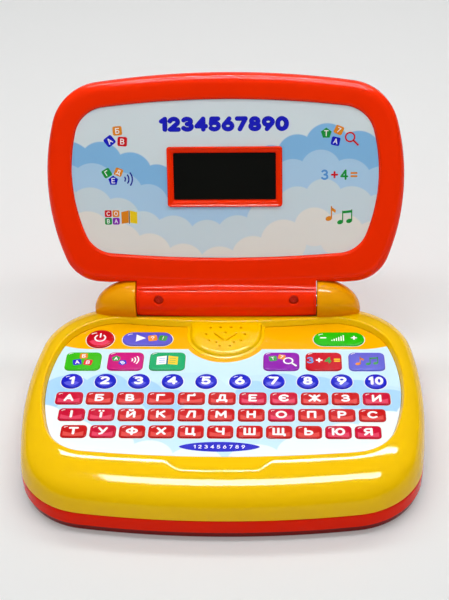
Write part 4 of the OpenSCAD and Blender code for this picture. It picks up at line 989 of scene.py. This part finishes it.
def glint(bm, x, y, w, h, size=1.0):
    """Small printed gloss mark near the top left of a key."""
    mark = corners((0, 0), (0.55, 0.55), (1.5, 0.95), (2.7, 1.1), (2.6, 0.75), (1.6, 0.5), (0.8, 0.1),
                   (0.3, -0.35))
    paint(bm, moved(mark, x - w, y + h, scale=size), PAD_TOP + 2 * LAYER, "white")


def sheen_rect(bm, w, h, x, y, colour):
    """Painted reflection: a lighter patch painted along the foot of a key, with a wavy top, for the sheen on
    its dome.
    """
    waves = [(w * (k / 12 - 0.5), h * math.sin(k / 12 * math.pi)) for k in range(13)]
    top = [(px, -h * 0.06 - 0.16 * wave) for px, wave in waves]
    foot = [(-px, -h * 0.44 - 0.03 * wave) for px, wave in waves]
    paint(bm, moved(corners(*top, *foot), x, y), PAD_TOP, colour)


def sheen_round(bm, r, x, y, colour):
    """Painted reflection on a round key: a lighter crescent painted in its lower part."""
    low = arc((0, 0), r, 200, 340, 18, True)
    top = arc((0, -r * 1.5), r * 1.38, 52, 128, 12, True)
    paint(bm, moved(low + top, x, y), PAD_TOP, colour)


def print_piece(name, bm, at, body):
    new_piece(name, bm, at, body, INK_FINISHES, sharp=180)


def key_finish(name, code, darker):
    """Gloss film pressed over a key, printed from behind: deep colour under a soft, uneven gloss."""
    mat, tree, shader = material("film_dome_" + name, 0.1, 1.57, mirror=0.08)
    mottle(tree, shader, 14, linear(code), linear(darker))
    ripples(tree, shader, ((5, 1, 0.035),))
    return mat


def key(name, shape, x, y, finish, slot):
    """The pad of one key; returns a bmesh for its print."""
    bm = bmesh.new()
    pad(bm, shape, x, y)
    new_piece(name + "_pad", bm, BASE, name, finish, [name])
    return bmesh.new()


def keyboard():
    # Every key as shape, x, y and width of the white rim printed round it
    spots = [(number_shape, NUMBER_PITCH * (i - 4.5), NUMBER_Y, 0.6) for i in range(10)]
    spots += [(mode_shape, x, MODE_Y, 0.4) for x in MODE_X]
    spots += [(shape, x, ROUND_Y, 0.6) for shape, x in (
        (power_shape, POWER_X), (pill_shape, PLAY_X), (pill_shape, VOLUME_X))]
    for row in range(3):
        shape = partial(letter_shape, row)
        spots += [(shape, *letter_place(row, i), 0.45) for i in range(11)]
    rims = bmesh.new()
    for shape, x, y, rim in spots:
        loft(rims, [at_z(moved(shape(grow), x, y), FILM_Z + LAYER) for grow in (0.15, rim)], caps=False)
    holes = [moved(shape(0.12), x, y) for shape, x, y, rim in spots]
    film = flat_sheet("printed_film", [outline(FILM)] + holes, FILM_Z - FILM_T, FILM_Z, BASE)
    finish_piece(film, "base", film_material(), ["keyboard_film"])

    # A blue lens with plain figures at the front
    lens = [Vector((24.2 * p.x, 4.3 * math.copysign(abs(p.y) ** 1.25, p.y))) for p in disc(1, 64)]
    paint(rims, moved(lens, 0, FIGURES_Y), FILM_Z + LAYER, "blue")
    letters(rims, "123456789", 3.0, 0, FIGURES_Y, FILM_Z + 2 * LAYER, "white", 1.3, gap=4.5)
    print_piece("film_key_rims", rims, BASE, "base")

    blue = key_finish("blue", "1A1FD0", "151AB8")
    for i in range(10):
        name, x = f"number_key_{i + 1}", NUMBER_PITCH * (i - 4.5)
        bm = key(name, number_shape, x, NUMBER_Y, blue, "number_key_blue")
        # Painted reflection: a lighter crescent on the key's lower part
        sheen_round(bm, 5.3, x, NUMBER_Y, "painted_sheen_blue")
        glint(bm, x, NUMBER_Y, 4.1, 2.9)
        letters(bm, str(i + 1), 7.6, x, NUMBER_Y - 0.1, SIGN_Z, "white", 2.2, wide=1.15 if i < 9 else 0.9)
        print_piece(name + "_print", bm, BASE, name)

    finishes = [key_finish("red", "CC1A1A", "BE1616"), key_finish("crimson", "CE1036", "C00E30")]
    for row, signs in enumerate(LETTERS):
        name = f"letter_row_{row + 1}"
        pads, prints = bmesh.new(), bmesh.new()
        for i, sign in enumerate(signs):
            x, y = letter_place(row, i)
            first, vowel = len(pads.faces), sign in VOWELS
            pad(pads, partial(letter_shape, row), x, y)
            pads.faces.ensure_lookup_table()
            for face in pads.faces[first:]:
                face.material_index = int(vowel)
            # Painted reflection: a lighter sheen patch along the foot of each key
            sheen = "painted_sheen_crimson" if vowel else "painted_sheen_red"
            sheen_rect(prints, letter_width(row) - 3.2, 10.4, x, y, sheen)
            glint(prints, x, y, letter_width(row) / 2 - 1.7, 2.7, 0.9)
            letters(prints, sign, 6.6, x, y - 0.3, SIGN_Z, "white", 2.1, wide=1.25)
        new_piece(name + "_pads", pads, BASE, name, finishes, [name])
        print_piece(name + "_print", prints, BASE, name)


keyboard()


# ---- icons ----

def tiles(bm, x, y, z, rows):
    """Small coloured tiles with one character each: offset, size, turn, colour, sign and number of
    sides, where that isn't four."""
    for dx, dy, size, turn, back, sign, *sides in rows:
        shape = moved(disc(size * 0.58, *sides), 0, 0, 90) if sides else rounded_rect(
            size, size, size * 0.18, steps=3)
        paint(bm, moved(shape, x + dx, y + dy, turn), z, back)
        letters(bm, sign, size * 0.62, x + dx, y + dy, z + LAYER, "white", 1.3, turn)


def bar(bm, x0, y0, x1, y1, width, z, colour):
    """A straight stroke with round ends."""
    along = Vector((x1 - x0, y1 - y0))
    turn = math.degrees(math.atan2(along.y, along.x))
    shape = rounded_rect(along.length + width, width, width / 2 - 0.001, steps=5)
    paint(bm, moved(shape, (x0 + x1) / 2, (y0 + y1) / 2, turn), z, colour)


def band(bm, x, y, r, width, start, stop, z, colour):
    """A curved stroke."""
    outer = arc((x, y), r + width / 2, start, stop, 20, True)
    paint(bm, outer + arc((x, y), r - width / 2, stop, start, 20, True), z, colour)


def note(bm, x, y, size, z, colour, pair=False):
    """A quaver, or two joined by a beam."""
    for hx, hy in ((0, 0), (0.62, 0.08)) if pair else ((0, 0),):
        head = [Vector((p.x * 1.25, p.y * 0.9)) for p in disc(0.17 * size, 20)]
        paint(bm, moved(head, x + hx * size, y + hy * size, 20), z, colour)
        stem = x + hx * size + 0.17 * size
        bar(bm, stem, y + hy * size, stem, y + (hy + 0.78) * size, 0.08 * size, z, colour)
    beam, flag = (((0.13, 0.78), (0.83, 0.86), (0.83, 0.68), (0.13, 0.6)),
                  ((0.13, 0.78), (0.45, 0.56), (0.42, 0.36), (0.13, 0.56)))
    paint(bm, moved(corners(*(beam if pair else flag)), x, y, scale=size), z, colour)


def magnifier(bm, x, y, size, z, colour):
    for start in (0, 180):
        band(bm, x, y, 0.3 * size, 0.11 * size, start, start + 180, z, colour)
    bar(bm, x + 0.24 * size, y - 0.24 * size, x + 0.52 * size, y - 0.52 * size, 0.13 * size, z, colour)


def book(bm, x, y, w, h, z, left, right):
    """The two leaning pages of an open book."""
    for side, colour in ((-1, left), (1, right)):
        page = [(0.04, -0.42), (0.5, -0.5), (0.5, 0.38), (0.04, 0.5)][::side]
        paint(bm, [Vector((x + side * px * w, y + py * h)) for px, py in page], z, colour)


def sound(bm, x, y, size, z, colour):
    for k in range(3):
        band(bm, x, y, (0.3 + 0.27 * k) * size, 0.11 * size, -38, 38, z, colour)


def sums(bm, x, y, height, z, inks):
    for k, sign in enumerate("3+4="):
        letters(bm, sign, height, x + (k - 1.5) * height * 0.92, y, z, inks[k], 1.6)


MODE_FINISHES = {
    "green": ("3CC41A", "36B617"), "magenta": ("D01280", "C20E75"), "teal": ("1CB26E", "18A465"),
    "purple": ("961EB4", "881AA6"), "red": ("CC1024", "BE0E20"), "violet": ("6A6CDA", "6062CC")}


def mode_keys():
    z, y = SIGN_Z, MODE_Y + 0.6
    for k, (name, shades) in enumerate(MODE_FINISHES.items()):
        node, x = f"mode_key_{k + 1}", MODE_X[k]
        bm = key(node, mode_shape, x, MODE_Y, key_finish(name, *shades), "mode_" + name)
        glint(bm, x, MODE_Y, 10.0, 6.4, 1.1)
        if name == "green":
            tiles(bm, x, y, z, ((-3.6, -2.2, 5.6, 12, "blue", "А"), (3.4, -2.4, 5.6, -8, "red", "В"),
                                (0, 4.0, 5.2, 4, "orange", "Б")))
        elif name == "magenta":
            tiles(bm, x, y, z, ((-6.2, 1.4, 5.2, 0, "green", "А", 5),
                                (-1.6, -2.6, 5.2, 36, "blue", "В", 5)))
            sound(bm, x + 2.4, y, 7.2, z, "white")
        elif name == "teal":
            book(bm, x, y - 0.2, 13.6, 9.0, z, "white", "yellow")
            bar(bm, x, y - 4.4, x, y + 4.0, 0.5, z + LAYER, "deep_blue")
            for line in (y - 2.3, y - 0.3, y + 1.7):
                bar(bm, x + 1.6, line + 0.1, x + 5.2, line - 0.1, 0.5, z + LAYER, "green")
                bar(bm, x - 5.2, line - 0.1, x - 1.6, line + 0.1, 0.5, z + LAYER, "sky")
        elif name == "purple":
            tiles(bm, x, y, z, ((-5.4, 1.6, 5.0, 10, "green", "Т"), (0.2, 3.2, 4.6, -14, "orange", "7")))
            magnifier(bm, x + 4.4, y - 0.6, 9.4, z, "white")
        elif name == "red":
            sums(bm, x, y, 6.2, z, ("sky", "white", "green", "yellow"))
        else:
            note(bm, x - 5.6, y - 3.6, 8.6, z, "orange")
            note(bm, x + 0.8, y - 3.6, 7.8, z, "green", pair=True)
        print_piece(node + "_print", bm, BASE, node)


def round_keys():
    x, y, z = POWER_X, ROUND_Y, SIGN_Z
    bm = key("power_key", power_shape, x, y, key_finish("power_red", "C81020", "BA0C1C"), "power_red")
    # Painted reflection: a lighter crescent on the power key's lower part
    sheen_round(bm, 7.6, x, y, "painted_sheen_crimson")
    glint(bm, x, y, 6.2, 4.2, 1.3)
    band(bm, x, y + 0.2, 3.4, 1.05, 124, 416, z, "white")
    bar(bm, x, y + 1.0, x, y + 4.6, 1.05, z, "white")
    print_piece("power_key_print", bm, BASE, "power_key")

    x = PLAY_X
    bm = key("play_key", pill_shape, x, y, key_finish("play_blue", "5F5CD6", "5450C8"), "play_blue")
    glint(bm, x, y, 13.4, 3.2, 1.2)
    paint(bm, moved(corners((-7.4, -3.6), (-1.0, 0), (-7.4, 3.6)), x, y), z, "white")
    tiles(bm, x, y, z, ((3.4, 0, 6.0, 10, "orange", "?"), (10.2, 0, 5.4, -10, "green", "!")))
    print_piece("play_key_print", bm, BASE, "play_key")

    x = VOLUME_X
    green = key_finish("volume_green", "20C40C", "1CB409")
    bm = key("volume_key", pill_shape, x, y, green, "volume_green")
    glint(bm, x, y, 13.4, 3.2, 1.2)
    for sign_x in (x - 10.2, x + 9.8):
        bar(bm, sign_x - 1.5, y + 0.4, sign_x + 1.5, y + 0.4, 1.1, z, "white")
    bar(bm, x + 9.8, y - 1.1, x + 9.8, y + 1.9, 1.1, z + 0.2 * LAYER, "white")
    for k in range(6):
        step = x - 4.6 + 1.5 * k
        bar(bm, step, y - 2.4, step, y - 2.0 + 0.95 * k, 0.75, z, "white")
    print_piece("volume_key_print", bm, BASE, "volume_key")


def lid_print():
    loops = [outline(SHEET), display_ring(FRAME_W + 0.1)]
    sheet = flat_sheet("printed_lid_sheet", loops, SEAT_Z, SEAT_Z + SHEET_T, LID)
    finish_piece(sheet, "lid", sheet_material(), ["lid_sheet"])
    bm = bmesh.new()
    z = SEAT_Z + SHEET_T + LAYER
    letters(bm, "1234567890", 9.8, 0, 118, z, "deep_blue", 3.1, wide=1.25, gap=0.25)
    letters(bm, "1234567890", 9.3, 0, 118, z + 0.04, "blue", 2.45, wide=1.25, gap=0.9)
    tiles(bm, 0, 0, z, (
        (-73.8, 107.4, 6.3, 38, "blue", "А"), (-68.6, 114.0, 6.0, 4, "orange", "Б"),
        (-65.6, 107.0, 6.2, -4, "red", "В"), (-76.4, 86.4, 5.6, 30, "green", "Г"),
        (-72.4, 81.4, 5.8, 0, "blue", "Е", 5), (-68.8, 87.0, 5.2, -22, "orange", "Д"),
        (-76.6, 59.4, 4.6, 0, "red", "С"), (-71.5, 59.4, 4.6, 0, "orange", "О"),
        (-76.6, 54.3, 4.6, 0, "green", "В"), (-71.5, 54.3, 4.6, 0, "purple", "А"),
        (65.4, 111.6, 6.2, 0, "green", "Т", 5), (73.4, 113.6, 5.6, -24, "orange", "7"),
        (71.4, 106.4, 5.6, -12, "blue", "А")))
    sound(bm, -67.0, 82.4, 8.4, z, "deep_blue")
    book(bm, -62.8, 57.0, 10.4, 9.0, z, "orange", "yellow")
    bar(bm, -62.8, 52.8, -62.8, 61.2, 0.5, z + LAYER, "near_black")
    magnifier(bm, 80.6, 109.0, 9.6, z, "red")
    sums(bm, 74.0, 84.6, 6.8, z, ("sky", "red", "green", "orange"))
    note(bm, 67.4, 55.6, 10.2, z, "orange")
    note(bm, 74.8, 53.2, 9.4, z, "green", pair=True)
    print_piece("lid_sheet_print", bm, LID, "lid")


mode_keys()
round_keys()
lid_print()


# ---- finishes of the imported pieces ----

def board_finish():
    """Solder mask over etched tracks: green with a faint raised grid of copper lines."""
    mat, tree, shader = material("solder_mask_green", 0.3)
    tracks = add(tree, "ShaderNodeTexBrick", {
        "Vector": add(tree, "ShaderNodeTexCoord", out="Object"), "Color1": linear("0F6B35"),
        "Color2": linear("0B5A2C"), "Mortar": linear("1E8A49"), "Scale": 1 / (6 * MM),
        "Mortar Size": 0.04, "Brick Width": 0.9, "Row Height": 0.35})
    raised = add(tree, "ShaderNodeBump", {
        "Height": tracks.node.outputs["Fac"], "Strength": 1.0, "Distance": 0.03 * MM})
    feed(shader, {"Base Color": tracks, "Normal": raised})
    return mat


def display_finish():
    """Unlit display glass: near black, with a faint green cast and a clean gloss."""
    mat, tree, shader = material("display_window_smoked", 0.08, 1.49)
    mottle(tree, shader, 25, linear("0A0C07"), linear("060705"))
    ripples(tree, shader, ((18, 1, 0.004),))
    return mat


# Epoxy resin: black, softly glossy
BLACK = plain("epoxy_resin_black", "17171A", 0.3, 1.0, 0.01)
# PVC on thin wire: red, satin
WIRE = plain("pvc_wire_red", "B5201C", 0.45, 1.0, 0.004)
# Lacquered steel jacket of a battery: dark and glossy
JACKET = plain("battery_jacket_lacquered", "23242A", 0.25, 2.0, 0.003)
# Pressed paper: black, dull and fibrous
CONE = plain("speaker_paper_black", "1C1B1B", 0.8, 0.4, 0.03)
# Sintered ferrite: dark grey, slightly rough
FERRITE = plain("ferrite_sintered", "38383B", 0.5, 0.4, 0.02)
# Pressed steel: plain grey metal
BASKET = plain("steel_pressed_grey", "6C6E72", 0.4, 0.8, 0.004, metallic=1.0)
# Painted screw heads, down in the wells of the cover
SCREW_RED = plain("screw_painted_red", "FF4020", 0.5, 0.6, 0.01)
NODE_FINISHES = {
    "battery_door": RED, "rubber_feet": RUBBER, "case_screws": STEEL, "door_screw": STEEL,
    "cover_screws": SCREW_RED, "lid_screws": STEEL, "lcd_screws": STEEL, "hinge_pins": STEEL,
    "battery_contacts": NICKEL, "battery_springs": NICKEL, "batteries": JACKET,
    "main_board": board_finish(), "lcd_board": board_finish(), "board_parts": BLACK,
    "speaker_frame": BASKET, "speaker_cone": CONE, "speaker_magnet": FERRITE, "base_wiring": WIRE,
    "lid_wiring": WIRE, "spacer_sheet": CLEAR, "contact_membrane": CLEAR, "lcd_window": display_finish(),
    "lcd_glass": BLACK}
for node_name, finish in NODE_FINISHES.items():
    slots = nodes[node_name].data.materials
    if not slots:
        slots.append(finish)
    for k in range(len(slots)):
        slots[k] = finish
